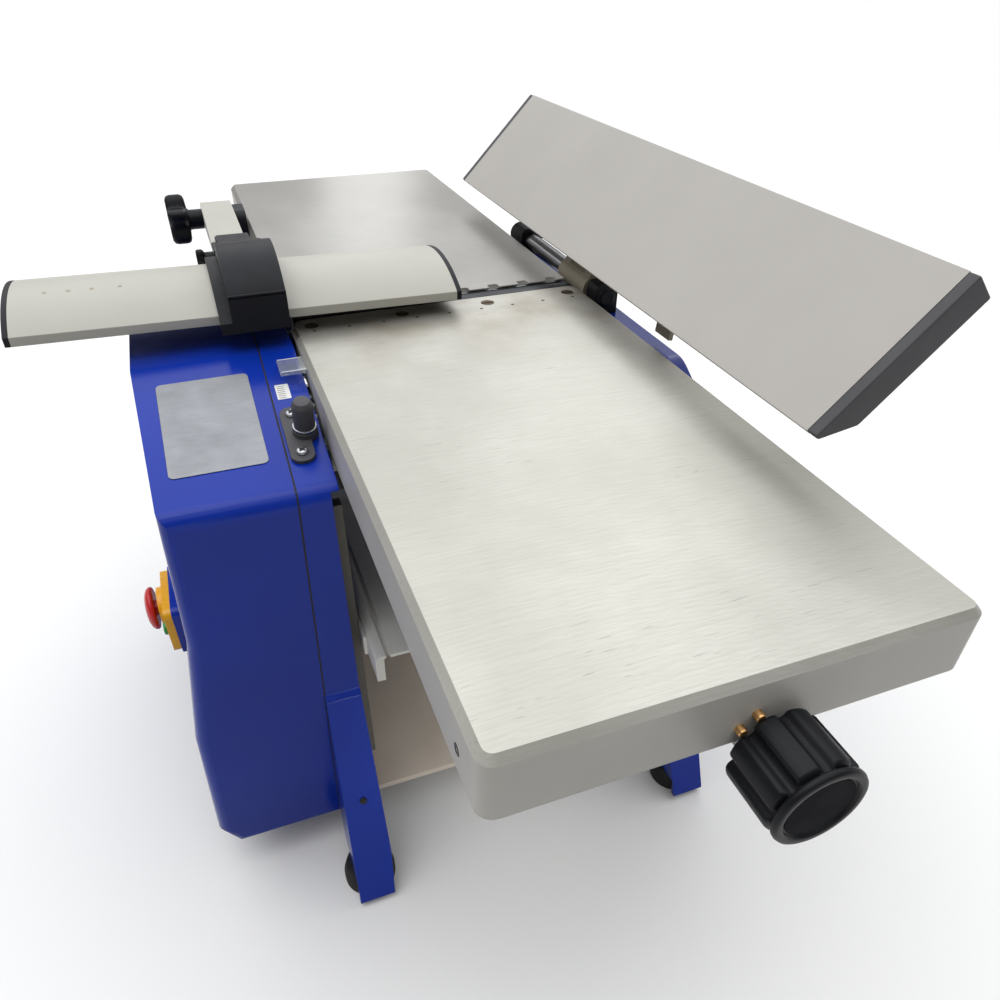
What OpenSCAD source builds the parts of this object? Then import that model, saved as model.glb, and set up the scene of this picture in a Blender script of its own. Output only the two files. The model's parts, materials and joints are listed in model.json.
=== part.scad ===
// Benchtop planer thicknesser: two planer tables over a cutter block, a rising bed below it,
// a tilting fence, a bridge guard and a belt drive behind a side cover.
// X runs across the tables (fence side positive), Y along the feed, Z up from the bench.
// The origin lies on the bench under the middle of the cutter axis.

/* [Tables] */
// Height of the table surface above the bench
table_top = 435; // [427:1:443]
// Width of both planer tables
table_w = 264; // [250:1:280]
// Length of the infeed table from lip to free end
infeed_l = 470; // [440:1:500]
// Length of the outfeed table from lip to free end
outfeed_l = 458; // [430:1:500]
// Depth of a table casting's skirt
table_skirt = 40; // [37:1:42]
// Thickness of a table plate
table_plate = 8; // [7:0.5:10]
// Wall of a table casting
table_wall = 6; // [5:0.5:7]
// Radius of a table's upright corners
table_corner = 9; // [7:0.5:12]
// Bevel round a table's top edge
table_bevel = 4; // [2:0.5:5]
// Opening between the table lips
lip_gap = 20; // [20:1:26]
// Feed-way length of the infeed lip plate
lip_l = 32; // [30:1:36]
// Thickness of the infeed lip plate
lip_t = 3.5; // [3:0.25:4]
// Deepest cut of the infeed table
cut_depth = 3; // [2:0.5:3]

/* [Cutter] */
// Diameter of the cutting circle
cutter_d = 54; // [52:1:56]
// Distance of the cutter block's ends from the table edges
cutter_inset = 4; // [3:0.5:7]
// Number of knives
knife_count = 2; // [2:1:3]
// How far a knife stands out of the block
knife_out = 1; // [0.5:0.1:1.2]
// Diameter of a feed roller
roller_d = 23; // [22:0.5:24]
// Distance of a feed roller from the cutter axis
roller_y = 58; // [57:0.5:60]
// Number of kickback fingers
finger_count = 20; // [14:1:22]

/* [Side castings] */
// Half length of a side casting above its legs
side_y = 208; // [204:1:214]
// Half spread of the legs at the bench
foot_y = 285; // [280:1:295]
// Height where the legs start to spread
leg_top = 195; // [180:1:205]
// Feed-way length of a leg at the bench
leg_l = 57; // [55:1:62]
// Height of the arch between the legs
arch_z = 70; // [66:1:74]
// Web thickness of a side casting
casting_web = 8; // [7:0.5:9]
// Diameter of a rubber foot
foot_d = 46; // [42:1:48]
// Height of a rubber foot
foot_h = 22; // [18:1:24]
// Diameter of a bench bolt hole
bench_hole_d = 9; // [8:0.5:10]

/* [Side cover] */
// Height of the cover's lower edge above the bench
cover_low = 40; // [36:1:46]
// Wall of the cover
cover_wall = 3; // [2.5:0.25:4]
// Distance of the cover's face from the casting's inner side, at its top ends
cover_top_out = 109; // [105:1:112]
// How much further out the cover's face stands at the middle of its top
cover_bulge = 7; // [4:0.5:8]
// Distance of the cover's face from the casting's inner side, above the flare
cover_waist_out = 117; // [114:1:119]
// Distance of the cover's face from the casting's inner side, below the flare
cover_flare_out = 133; // [126:1:135]
// Distance of the cover's face from the casting's inner side, at its foot
cover_low_out = 139; // [136:1:143]

/* [Thicknesser] */
// Height of the gap between the lowered bed and the cutter
bed_open = 123; // [118:1:126]
// Gap between the thicknessing bed and each side casting
bed_gap = 11; // [10:0.5:14]
// Length of the thicknessing bed
bed_l = 476; // [460:1:500]
// Depth of the bed casting
bed_h = 26; // [24:1:28]
// Diameter of the lifting screw
lift_d = 20; // [18:0.5:21]
// Length of the crank arm between its axes
crank_r = 80; // [70:1:84]

/* [Fence] */
// Length of the fence with its end caps
fence_l = 631; // [600:1:660]
// Height of the fence face
fence_h = 117; // [110:1:126]
// Thickness of the fence extrusion
fence_t = 20; // [18:0.5:22]
// Wall of the fence extrusion
fence_wall = 2.5; // [2:0.25:3]
// Angle that the fence leans back from upright
fence_tilt = 45; // [0:1:45]
// Diameter of the fence's pivot shaft
fence_shaft_d = 16; // [14:0.5:17]

/* [Bridge guard] */
// Length of the guard with its end caps
guard_l = 346; // [330:1:380]
// Feed-way width of the guard
guard_w = 118; // [112:1:122]
// Height of the guard's arch above its side lips
guard_arch = 16; // [13:0.5:18]
// Height of the guard's side lips
guard_lip = 7; // [6:0.5:8]
// Wall of the guard profile
guard_wall = 2.5; // [2:0.25:3]
// Gap between the tables and the guard
guard_gap = 14; // [12:0.5:16]
// Angle that the guard droops towards the fence
guard_droop = 1.2; // [0:0.1:1.6]

/* [Controls] */
// Diameter of the depth knob
knob_d = 50; // [46:1:54]
// Length of the depth knob
knob_l = 38; // [34:1:42]
// Number of flutes round the depth knob
knob_flutes = 8; // [6:1:10]
// Diameter of the star knob
star_d = 52; // [48:1:56]
// Diameter of the red stop button
stop_d = 34; // [32:1:38]

/* [Drive] */
// Diameter of the motor body
motor_d = 104; // [98:1:106]
// Length of the motor body
motor_l = 156; // [140:1:170]
// Diameter of the drive pulley on the cutter
cutter_pulley_d = 28; // [26:1:29]
// Diameter of the drive pulley on the motor
motor_pulley_d = 72; // [64:1:78]
// Teeth of the gear on the gearbox
drive_teeth = 60; // [58:1:61]
// Teeth of a roller gear
roller_teeth = 22; // [21:1:23]

/* [Hidden] */
$fn = 48;
arc_steps = 6;

// Clearances shared by all pieces
over = 1;
fit = 0.05;
rest_gap = 0.3;
shim = 0.01;

// Colours
blue = "#1d3fa8";
off_white = "#d8d7d0";
machined = "#c9c9c6";
steel = "#9aa0a6";
black = "#1b1c1f";
rubber = "#141414";
taupe = "#a59c92";
bronze = "#9c7a45";
red = "#c3202b";
yellow = "#e8a812";
green = "#2c8a3c";
clear = "#d9e4ea80";

// Tables
x_tab = table_w / 2;
y_lip = lip_gap / 2;
skirt_z = table_top - table_skirt;
plate_z = table_top - table_plate;
y_near = -(y_lip + infeed_l);
y_far = y_lip + outfeed_l;
lip_over = 6;
lip_inset = 4;
lip_front_r = 8;
lip_back_r = 2;
lip_screw_n = 4;
lip_screw_share = 0.2917;
lip_screw_pitch = table_w * lip_screw_share;
lip_screw_in = 14;
lip_screw_y = y_lip + lip_screw_in;
lip_screw_r = 3;
lip_head_r = 6;
lip_head_h = 3;
lip_screw_l = 7.5;
drive_slot_w = 1.6;
drive_slot_h = 1.5;
notch_n = 9;
notch_share = 0.109;
notch_pitch = table_w * notch_share;
notch_w = 10;
notch_l = 7;
rib_t = 5;
rib_h = 18;
rib_shares = [0.34, 0.56, 0.78];
sweep_gap = 0.8;
relief_y = 116;
relief_h = 23;

// Cutter and rollers
cutter_r = cutter_d / 2;
cutter_l = table_w - 2 * cutter_inset;
cutter_z = table_top - cutter_r;
block_r = cutter_r - knife_out;
sweep_r = cutter_r + sweep_gap;
roller_low = 0.5;
roller_r = roller_d / 2;
roller_z = cutter_z - cutter_r - roller_low + roller_r;
roller_half = cutter_l / 2;
roller_journal_r = 6;
bush_r = 9;
knife_t = 3;
knife_face = 13;
knife_back_drop = 2.5;
slot_floor = 9;
gib_w = 8;
gib_low = 1.5;
gib_top_drop = 2;
gib_dip_r = 5;
journal_r = 8.5;
bearing_r = 17.5;
bearing_w = 10;
bearing_boss = 6;
right_journal_r = 6;
right_bearing_r = 10.5;
right_boss = 2;
flute_n = 24;
flute_r = 1.4;

// Side castings
side_gap = 9;
frame_in = x_tab + side_gap;
casting_drop = 5;
right_drop = 17;
slope_drop = 36;
crease_y = 53;
right_crease_y = 150;
top_z = table_top - casting_drop;
corner_z = top_z - slope_drop;
right_top_z = table_top - right_drop;
right_corner_z = right_top_z - slope_drop;
slope_a = atan(slope_drop / (side_y - crease_y));
leg_low = 4;
leg_step = 5;
leg_in = 4;
leg_wall = 8;
leg_draft_z = 50;
arch_y = 200;
arch_r = 24;
edge_r = 3;
corner_r = 14;
crease_r = 30;
rim = 9;
pocket_r = 12;
part_top_out = 21;
part_low_out = 35;
part_top = frame_in + part_top_out;
part_low = frame_in + part_low_out;
table_gap = 3;
top_rim_t = 3;
top_rim_y = 100;
casting_x = 60;
feet_x = (leg_in + frame_in + part_low) / 2;
feet_y = foot_y - leg_wall - foot_d / 2 - over;
bench_hole_r = bench_hole_d / 2;
bench_hole_l = 40;
crank_boss_r = 16;
rib_y = 100;
frame_rib_t = 8;
frame_rib_x = 11;
function part_x(z) = part_low + (part_top - part_low) * (z - leg_low) / (top_z - leg_low);
function slope_z(y) = top_z - (abs(y) - crease_y) * slope_drop / (side_y - crease_y);

// Side cover
cover_x_top = frame_in + cover_top_out;
cover_x_waist = frame_in + cover_waist_out;
cover_x_flare = frame_in + cover_flare_out;
cover_x_low = frame_in + cover_low_out;
cover_edge_r = 10;
cover_low_r = 6;
flare_z = 181;
waist_z = 284;
cover_bevel_l = 12;
cover_bevel_h = 22;
switch_y = -140;
switch_z = 273;
pad_l = 48;
pad_h = 44;
pad_rise = 7.5;
pad_out = cover_x_waist + pad_rise;

// Base, ways and ties
tray_t = 3;
tray_z = 53;
tray_y = 204;
tray_flange = 26;
tray_lip = 3;
tie_w = 24;
tie_t = 7;
tie_y = 190;
tie_drop = 12;
tie_z = skirt_z - tie_drop;
way_a = 20;
way_travel = cut_depth / sin(way_a);
way_ys = [122, 152];
way_r = 5;
way_drop = 4;
way_z = skirt_z - way_drop;
way_pin_l = 13;
way_ear_y = [108, 166];
way_ear_t = 4;
way_ear_h = 14.5;

// Depth control
knob_x = 12;
knob_drop = 5;
knob_z = skirt_z - knob_drop;
knob_gap = 4;
knob_y = y_near - knob_gap;
depth_screw_r = 4;
depth_boss_r = 14;
depth_boss_l = 18;
flute_out = 2.5;
knob_flute_r = 6;
knob_rim = 3;
knob_dish = 2;
nut_w = 26;
nut_h = 22;
nut_l = 18;
pointer_l = 24;
pointer_x = 20;
pointer_t = 3;
pointer_y = -96;
pointer_z = table_top - table_bevel - pointer_t;

// Table bolts
bolt_pad_y = 120;
bolt_pad_l = 42;
bolt_pad_drop = 9;
bolt_pad_z = skirt_z - bolt_pad_drop;
bolt_pad_h = 25;
bolt_rise = 1;
bolt_z = skirt_z + bolt_rise;
bolt_ys = [131, 151];
bolt_r = 4;
bolt_head_r = 6.5;
bolt_head_h = 5;

// Drive
gear_m = 2;
gear_add_share = 0.8;
gear_ded_share = 1.2;
gear_slope_share = 0.36;
gear_play_share = 0.1;
gear_w = 10;
gear_in = 4;
drive_gear_r = drive_teeth * gear_m / 2;
roller_gear_r = roller_teeth * gear_m / 2;
mesh_l = drive_gear_r + roller_gear_r;
mesh_drop = sqrt(mesh_l * mesh_l - roller_y * roller_y);
drive_gear_z = roller_z - mesh_drop;
mesh_a = atan2(mesh_drop, roller_y);
gear_x0 = frame_in + casting_web + gear_in;
gear_x1 = gear_x0 + gear_w;
box_gap = 5;
box_t = 28;
box_x0 = gear_x1 + box_gap;
box_x1 = box_x0 + box_t;
box_w = 72;
box_h = 68;
box_r = 10;
box_foot_y = 74;
box_foot_drop = 30;
box_foot_t = 5;
box_foot_h = 28;
box_foot_r = 6;
box_shaft_r = 8;
box_shaft_l = 10;
input_r = 6;
pulley_gap = 3;
feed_w = 10;
drive_w = 15;
feed_x0 = box_x1 + pulley_gap;
feed_x1 = feed_x0 + feed_w;
drive_x0 = feed_x1 + pulley_gap;
drive_x1 = drive_x0 + drive_w;
pulley_bore_r = 8;
feed_pulley_r = 12;
box_pulley_r = 24;
belt_t = 3;
belt_in = 1;
motor_y = 105;
motor_z = 140;
motor_shaft_r = 7;
motor_hole_r = 16;
motor_flange = 8;
motor_flange_r = 58;
motor_bore_l = 20;
motor_cap_r = 30;
motor_cap_l = 12;
motor_fin_n = 18;
motor_fin_r = 2;

// Kickback fingers
finger_y = -97;
finger_rise = 7;
finger_z = roller_z + finger_rise;
finger_shaft_r = 5;
finger_eye_r = 8;
finger_t = 7;
finger_span_share = 0.9375;
finger_pitch = cutter_l * finger_span_share / finger_count;
finger_drop = 19;
finger_lead = 8;

// Thicknessing bed and its lift
bed_w = 2 * (frame_in - bed_gap);
bed_z = cutter_z - cutter_r - bed_open;
bed_plate = 10;
bed_wall = 7;
bed_edge_r = 7;
bed_groove_x = 12;
bed_groove_w = 3;
bed_groove_h = 4;
bed_nose_l = 26;
bed_nose_t = 3;
bed_boss_r = 22;
bed_rib_shares = [-0.28, 0.28];
lift_r = lift_d / 2;
lift_low = 12;
guide_t = 8;
guide_w = 16;
guide_y = 186;
guide_z0 = 96;
guide_top_gap = 9;
guide_z1 = roller_z - roller_r - guide_top_gap;
shoe_l = 40;
crank_z = 118;
bevel_r = 26;
bevel_n = 20;
bevel_m = 2 * bevel_r / bevel_n;
bevel_b = 10;
bevel_base = 4;
hub_r = 18;
pedestal_r = 30;
nut_r = 13.5;
nut_rise = 32;
nut_top = crank_z + nut_rise;
post_x = 50;
post_t = 12;
post_w = 32;
crank_shaft_r = 8;
crank_out = 35;
crank_x = frame_in + crank_out;
crank_t = 10;
crank_hub_r = 14;
crank_tip_r = 10;
grip_r = 11;
grip_l = 42;
grip_pin_r = 4;
grip_bead_r = 9;

// Fence, drawn upright about its pivot before it leans back
pivot_out = 4;
pivot_drop = 2;
pivot_x = frame_in + pivot_out;
pivot_z = table_top - pivot_drop;
fence_back = 42.4;
fence_rise = 0.8;
fence_y0 = -355;
cap_t = 8;
fence_toe = 4;
fence_chamfer = 22;
web_share = 0.55;
fence_shaft_r = fence_shaft_d / 2;
sleeve_r = 12;
sleeve_y0 = -20;
sleeve_y1 = 36;
ear_t = 18;
ear_y0 = -44;
ear_y1 = 132;
ear_w = 22;
ear_top_r = 12;
arm_t = 6;
arm_low = 34;
arm_high = 98;
gusset_t = 12;
tab_y0 = -134;
tab_w = 22;
tab_t = 4;
tab_x = 12;
tab_z = 4;
tab_low = 42;
lever_hub_r = 11;
lever_hub_l = 14;
lever_l = 58;
lever_w = 9;
fence_x = -fence_back;
fence_z = table_top + fence_rise - pivot_z;

// Bridge guard
guard_out = 203;
guard_x0 = -x_tab - guard_out;
guard_y = 23;
guard_z = table_top + guard_gap;
guard_cap_t = 4;
guard_half = guard_w / 2;
guard_arc_r = (guard_half * guard_half + guard_arch * guard_arch) / (2 * guard_arch);
guard_arc_z = guard_z + guard_lip + guard_arch - guard_arc_r;
guard_foot = 6;
holder_out = 45;
holder_x0 = -x_tab - holder_out;
holder_w = 43;
holder_front = 13;
holder_rear = 10;
holder_top = 8;
holder_floor = 3;
holder_hook = 8;
holder_play = 0.5;
holder_rim_w = 9;
holder_rim_t = 6;
holder_rim_y = 60;
hump_r = 65;
hump_drop = 17;
hump_ahead = 21;
hump_y = guard_y - hump_ahead;
hump_z = guard_z - hump_drop;
droop_x = holder_x0 + holder_w / 2;
hinge_back = 24;
hinge_rise = 12;
hinge_y = guard_y + guard_half + hinge_back;
hinge_z = guard_z + hinge_rise;
hinge_r = 4;
hinge_eye_r = 9;
knuckle_w = 22;
knuckle_l = 40;
knuckle_play = 2.5;
arm_out = 44;
arm_in = 12.3;
arm_rise = 8;
arm_back = 20;
arm_x0 = -x_tab - arm_out;
arm_x1 = -x_tab - arm_in;
arm_z = guard_z + arm_rise;
arm_y0 = hinge_y + arm_back;
arm_deep = 23;
arm_wall = 2.5;
arm_tail = 14;
knuckle_x0 = arm_x0 + arm_wall + knuckle_play;
tongue_in = 4;
tongue_w = 28;
tongue_t = 3;
tongue_back = 34;
tongue_ahead = 54;
tongue_rise = 18;
post_y = 290;
post_drop = 6;
post_z = guard_z - post_drop;
post_l = 44;
post_deep = 35;
post_low = table_top - post_deep;
post_x1 = x_tab;
stud_r = 6;
star_hub_r = 10;
star_hub_l = 15;
star_t = 20;
star_lobes = 5;
star_wave_share = 0.16;
star_steps = 60;
wing_back = 11;
wing_rise = 11;
wing_y = guard_y + guard_half + wing_back;
wing_z = guard_z + wing_rise;
wing_hub_r = 7;
wing_hub_l = 8;
wing_t = 7;
wing_span = 18;
wing_h = 9;
wing_pin_r = 3;
wing_pin_l = 5.5;

// Switch and lock pin
switch_l = 44;
switch_h = 40;
switch_t = 6;
switch_r = 6;
neck_r = 15.5;
neck_l = 7.5;
stop_x0 = pad_out + switch_t + neck_l;
stop_t = 7.5;
stop_stem_r = 6;
stop_travel = 2.5;
start_ahead = 27;
start_room = 13;
start_r = 5;
start_out = 3;
button_l = 4;
lock_y = -151;
lock_out = 11;
lock_x = -frame_in - lock_out;
lock_w = 17;
lock_l = 58;
lock_t = 3;
lock_pin_x = 6;
lock_body_r = 9;
lock_body_h = 7;
lock_cap_r = 7.5;
lock_cap_h = 24;
lock_neck_r = 5;
lock_stem_r = 3;
lock_stem_l = 10;
lock_bevel = 2;

// Outlines and placing

function unit(v) = v / norm(v);

// One corner of an outline, given as [x, y, radius], drawn as an arc between its neighbours
function corner_arc(p, q, s) =
    let (c = [q[0], q[1]], a = unit([p[0], p[1]] - c), b = unit([s[0], s[1]] - c),
         half = acos(max(-1, min(1, a * b))) / 2)
    q[2] <= 0 || half > 89 ? [c] :
    let (m = c + unit(a + b) * q[2] / sin(half), start = c + a * q[2] / tan(half) - m,
         turn = (180 - 2 * half) * sign(cross(start, c + b * q[2] / tan(half) - m)))
    [for (i = [0:arc_steps]) let (t = turn * i / arc_steps)
        m + [start[0] * cos(t) - start[1] * sin(t), start[0] * sin(t) + start[1] * cos(t)]];

function rounded(pts) =
    let (n = len(pts))
    [for (i = [0:n - 1]) each corner_arc(pts[(i + n - 1) % n], pts[i], pts[(i + 1) % n])];

function rectangle(x0, y0, x1, y1, r) = rounded([[x0, y0, r], [x1, y0, r], [x1, y1, r], [x0, y1, r]]);

// Teeth with straight flanks on a pitch circle
function gear_outline(n, r, m) =
    let (half = PI * m / 4 - gear_play_share * m, root = r - gear_ded_share * m, tip = r + gear_add_share * m,
         a_root = (half + gear_slope_share * gear_ded_share * m) / root * 180 / PI,
         a_tip = (half - gear_slope_share * gear_add_share * m) / tip * 180 / PI)
    [for (i = [0:n - 1], k = [[root, -a_root], [tip, -a_tip], [tip, a_tip], [root, a_root]])
        let (t = 360 * i / n + k[1]) k[0] * [cos(t), sin(t)]];

module along_x(x0, x1) translate([x0, 0, 0]) rotate([90, 0, 90]) linear_extrude(x1 - x0) children();
module along_y(y0, y1) translate([0, y1, 0]) rotate([90, 0, 0]) linear_extrude(y1 - y0) children();
module along_z(z0, z1) translate([0, 0, z0]) linear_extrude(z1 - z0) children();
module box(lo, hi) translate(lo) cube(hi - lo);
module rod_x(r, x0, x1, y, z) translate([x0, y, z]) rotate([0, 90, 0]) cylinder(r = r, h = x1 - x0);
module rod_y(r, y0, y1, x, z) translate([x, y1, z]) rotate([90, 0, 0]) cylinder(r = r, h = y1 - y0);
module rod_z(r, z0, z1, x, y) translate([x, y, z0]) cylinder(r = r, h = z1 - z0);
module left() mirror([1, 0, 0]) children();
module both_sides() {
    children();
    left() children();
}
module both_ends() {
    children();
    mirror([0, 1, 0]) children();
}

// A closed solid through stacked rings that all have the same number of points
module loft(rings) {
    n = len(rings[0]);
    m = len(rings);
    walls = [for (j = [0:m - 2], i = [0:n - 1])
        let (a = j * n + i, b = a + n, c = (j + 1) * n + (i + 1) % n, d = j * n + (i + 1) % n)
        each [[a, b, c], [a, c, d]]];
    ends = [[for (i = [0:n - 1]) i], [for (i = [n - 1:-1:0]) (m - 1) * n + i]];
    polyhedron([for (ring = rings) each ring], concat(walls, ends));
}

// Planer tables

module table_prism(y1, inset, z) {
    along_z(skirt_z, z) polygon(rectangle(inset - x_tab, lip_over + y_lip + inset,
        x_tab - inset, y1 - inset, table_corner - inset));
}

module cutter_sweep() rod_x(sweep_r, -x_tab - over, x_tab + over, 0, cutter_z);

// A ribbed tray that runs from the cutter to y1 and stays clear of the cutter and rollers
module table_casting(y1) {
    y_in = y_lip + lip_l + table_wall;
    x_in = x_tab - table_wall;
    difference() {
        union() {
            difference() {
                hull() {
                    table_prism(y1, 0, table_top - table_bevel);
                    table_prism(y1, table_bevel, table_top);
                }
                box([-x_in, y_in, skirt_z - over], [x_in, y1 - table_wall, plate_z]);
            }
            for (s = rib_shares)
                box([-x_in - shim, y1 * s, plate_z - rib_h], [x_in + shim, y1 * s + rib_t, plate_z + shim]);
            box([-rib_t / 2, y_in - shim, plate_z - rib_h], [rib_t / 2, y1 - table_wall + shim, plate_z + shim]);
        }
        cutter_sweep();
        box([-x_tab - over, -over, skirt_z - over], [x_tab + over, relief_y, table_top - relief_h]);
    }
}

lip_screw_xs = [for (i = [0:lip_screw_n - 1]) (i - (lip_screw_n - 1) / 2) * lip_screw_pitch];

// Slot in the ears for a guide pin, as long as the table's travel down the ways
module way_slot(y) {
    r = way_r + fit;
    translate([0, -y, way_z]) rotate([way_a, 0, 0]) along_x(-x_tab - over, x_tab + over)
        polygon(rectangle(-r, -r, way_travel + r, r, r - shim));
}

module infeed_table() color(off_white) difference() {
    union() {
        mirror([0, 1, 0]) table_casting(-y_near);
        rod_y(depth_boss_r, y_near + over, y_near + depth_boss_l, knob_x, knob_z);
        both_sides() box([x_tab - way_ear_t, -way_ear_y[1], skirt_z - way_ear_h],
            [x_tab, -way_ear_y[0], skirt_z + over]);
    }
    box([-x_tab - over, -y_lip - lip_l, table_top - lip_t], [x_tab + over, over, table_top + over]);
    for (x = lip_screw_xs)
        rod_z(lip_screw_r + fit, table_top - lip_screw_l - over, table_top, x, -lip_screw_y);
    for (y = way_ys) way_slot(y);
    rod_y(depth_screw_r + fit, y_near - over, y_near + table_wall + depth_boss_l + over, knob_x, knob_z);
}

module infeed_lip() color(steel) difference() {
    x = x_tab - lip_inset;
    along_z(table_top - lip_t, table_top) polygon(rounded([[-x, -y_lip - lip_l, lip_back_r],
        [x, -y_lip - lip_l, lip_back_r], [x, -y_lip, lip_front_r], [-x, -y_lip, lip_front_r]]));
    cutter_sweep();
    for (x = lip_screw_xs) translate([x, -lip_screw_y, table_top - lip_head_h - fit]) {
        cylinder(r1 = lip_screw_r + 3 * fit, r2 = lip_head_r + 3 * fit, h = lip_head_h + 2 * fit);
        rod_z(lip_screw_r + fit, -lip_t, lip_head_h, 0, 0);
    }
}

module lip_screws() color(steel) for (x = lip_screw_xs) translate([x, -lip_screw_y, table_top]) difference() {
    union() {
        translate([0, 0, -lip_head_h]) cylinder(r1 = lip_screw_r, r2 = lip_head_r, h = lip_head_h - fit);
        rod_z(lip_screw_r, -lip_screw_l, -lip_head_h, 0, 0);
    }
    box([-lip_head_r, -drive_slot_w / 2, -drive_slot_h], [lip_head_r, drive_slot_w / 2, over]);
}

module outfeed_table() color(off_white) difference() {
    union() {
        difference() {
            union() {
                table_casting(y_far);
                box([lip_inset - x_tab, y_lip, table_top - lip_t], [x_tab - lip_inset, lip_l, table_top]);
            }
            cutter_sweep();
        }
        both_sides() box([x_tab - shim, bolt_pad_y, bolt_pad_z],
            [frame_in, bolt_pad_y + bolt_pad_l, bolt_pad_z + bolt_pad_h]);
    }
    for (i = [0:notch_n - 1]) {
        x = (i - (notch_n - 1) / 2) * notch_pitch;
        box([x - notch_w / 2, y_lip - over, plate_z],
            [x + notch_w / 2, y_lip + notch_l - notch_w / 4, table_top + over]);
        along_z(plate_z, table_top + over) polygon(rectangle(x - notch_w / 2, y_lip, x + notch_w / 2,
            y_lip + notch_l, notch_w / 4));
    }
    both_sides() for (y = bolt_ys) rod_x(bolt_r + fit, x_tab, frame_in + over, y, bolt_z);
}

module outfeed_bolts() color(steel) both_sides() for (y = bolt_ys) {
    face = frame_in + casting_web;
    rod_x(bolt_r, x_tab + over, face, y, bolt_z);
    rod_x(bolt_head_r, face, face + bolt_head_h, y, bolt_z, $fn = 6);
}

// Depth control of the infeed table

module depth_knob() color(black) difference() {
    r = knob_d / 2;
    rod_y(r, knob_y - knob_l, knob_y, knob_x, knob_z);
    for (i = [0:knob_flutes - 1]) let (t = 360 * (i + 0.5) / knob_flutes, a = r + flute_out)
        rod_y(knob_flute_r, knob_y - knob_l - over, knob_y - knob_rim, knob_x + a * cos(t), knob_z + a * sin(t));
    rod_y(r - knob_flute_r - knob_rim, knob_y - knob_l - over, knob_y - knob_l + knob_dish, knob_x, knob_z);
    rod_y(depth_screw_r + fit, knob_y - knob_l / 2, knob_y + over, knob_x, knob_z);
}

module depth_screw() color(steel) {
    rod_y(depth_screw_r, knob_y - knob_l / 2, -tie_y + nut_l, knob_x, knob_z);
    rod_y(2 * depth_screw_r, knob_y + shim, y_near - rest_gap, knob_x, knob_z);
}

module depth_pointer() color(clear)
    along_z(pointer_z, pointer_z + pointer_t) polygon(rounded([[-x_tab - pointer_x, pointer_y, over],
        [-x_tab, pointer_y, 0], [-x_tab, pointer_y + pointer_l, 0],
        [-x_tab - pointer_x, pointer_y + pointer_l, over]]));

// Side castings, base and feet

function casting_outline(top, crease, corner) = rounded([[-foot_y, leg_low, edge_r],
    [leg_l - foot_y, leg_low, edge_r], [-arch_y, arch_z, arch_r], [arch_y, arch_z, arch_r],
    [foot_y - leg_l, leg_low, edge_r], [foot_y, leg_low, edge_r], [side_y + leg_step, leg_top, edge_r],
    [side_y, leg_top + leg_step, edge_r], [side_y, corner, corner_r], [crease, top, crease_r],
    [-crease, top, crease_r], [-side_y, corner, corner_r], [-side_y, leg_top + leg_step, edge_r],
    [-side_y - leg_step, leg_top, edge_r]]);

function casting_pocket(top, crease, corner) = rounded([[rim - side_y, arch_z + 2 * rim, pocket_r],
    [side_y - rim, arch_z + 2 * rim, pocket_r], [side_y - rim, corner - rim, pocket_r],
    [crease, top - rim, crease_r], [-crease, top - rim, crease_r], [rim - side_y, corner - rim, pocket_r]]);

// A side casting on the fence side, before its own holes are bored
module casting(top, crease, corner, seat_r, boss_r) {
    web_x = frame_in + casting_web;
    far_x = frame_in + casting_x;
    difference() {
        union() {
            difference() {
                intersection() {
                    along_x(frame_in, far_x) polygon(casting_outline(top, crease, corner));
                    along_y(-foot_y - over, foot_y + over) polygon([[frame_in + leg_in, leg_low],
                        [part_low, leg_low], [part_x(top), top], [frame_in, top], [frame_in, leg_draft_z]]);
                }
                along_x(web_x, far_x + over) polygon(casting_pocket(top, crease, corner));
            }
            rod_x(boss_r, frame_in, frame_in + bearing_w + over, 0, cutter_z);
        }
        rod_x(seat_r, frame_in - over, far_x, 0, cutter_z);
        for (y = [-roller_y, roller_y]) rod_x(bush_r, frame_in - over, far_x, y, roller_z);
        both_ends() {
            box([frame_in - over, leg_l / 2, -over], [far_x, foot_y - leg_wall, foot_h]);
            rod_z(bench_hole_r, foot_h - over, foot_h + bench_hole_l, feet_x, feet_y);
        }
        for (y = bolt_ys) {
            rod_x(bolt_r + fit, frame_in - over, web_x + over, y, bolt_z);
            rod_x(bolt_head_r + over, web_x, far_x, y, bolt_z);
        }
    }
}

// Thin rim along the casting's top that closes most of the gap to the tables
module top_rim() intersection() {
    along_x(x_tab + table_gap, frame_in + over) difference() {
        polygon(casting_outline(top_z, crease_y, corner_z));
        translate([0, -top_rim_t]) polygon(casting_outline(top_z, crease_y, corner_z));
    }
    box([x_tab, -side_y - over, corner_z - top_rim_t], [frame_in + 2 * over, top_rim_y, top_z + over]);
}

module left_casting() color(blue) difference() {
    left() difference() {
        union() {
            casting(top_z, crease_y, corner_z, bearing_r, bearing_r + bearing_boss);
            top_rim();
        }
        rod_x(motor_hole_r, frame_in - over, frame_in + casting_x, motor_y, motor_z);
    }
    on_slope(lock_y) rod_z(lock_stem_r + fit, -lock_stem_l - over, over, lock_x + lock_pin_x, 0);
}

module right_casting() color(blue) difference() {
    union() {
        casting(right_top_z, right_crease_y, right_corner_z, right_bearing_r, right_bearing_r + right_boss);
        rod_x(crank_boss_r, frame_in, part_x(crank_z) - over, 0, crank_z);
        for (y = [-rib_y, rib_y])
            box([frame_in + casting_web - shim, y - frame_rib_t / 2, arch_z + rim],
                [frame_in + casting_web + frame_rib_x, y + frame_rib_t / 2, right_top_z - rim / 2]);
    }
    rod_x(crank_shaft_r + fit, frame_in - over, frame_in + casting_x, 0, crank_z);
}

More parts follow.
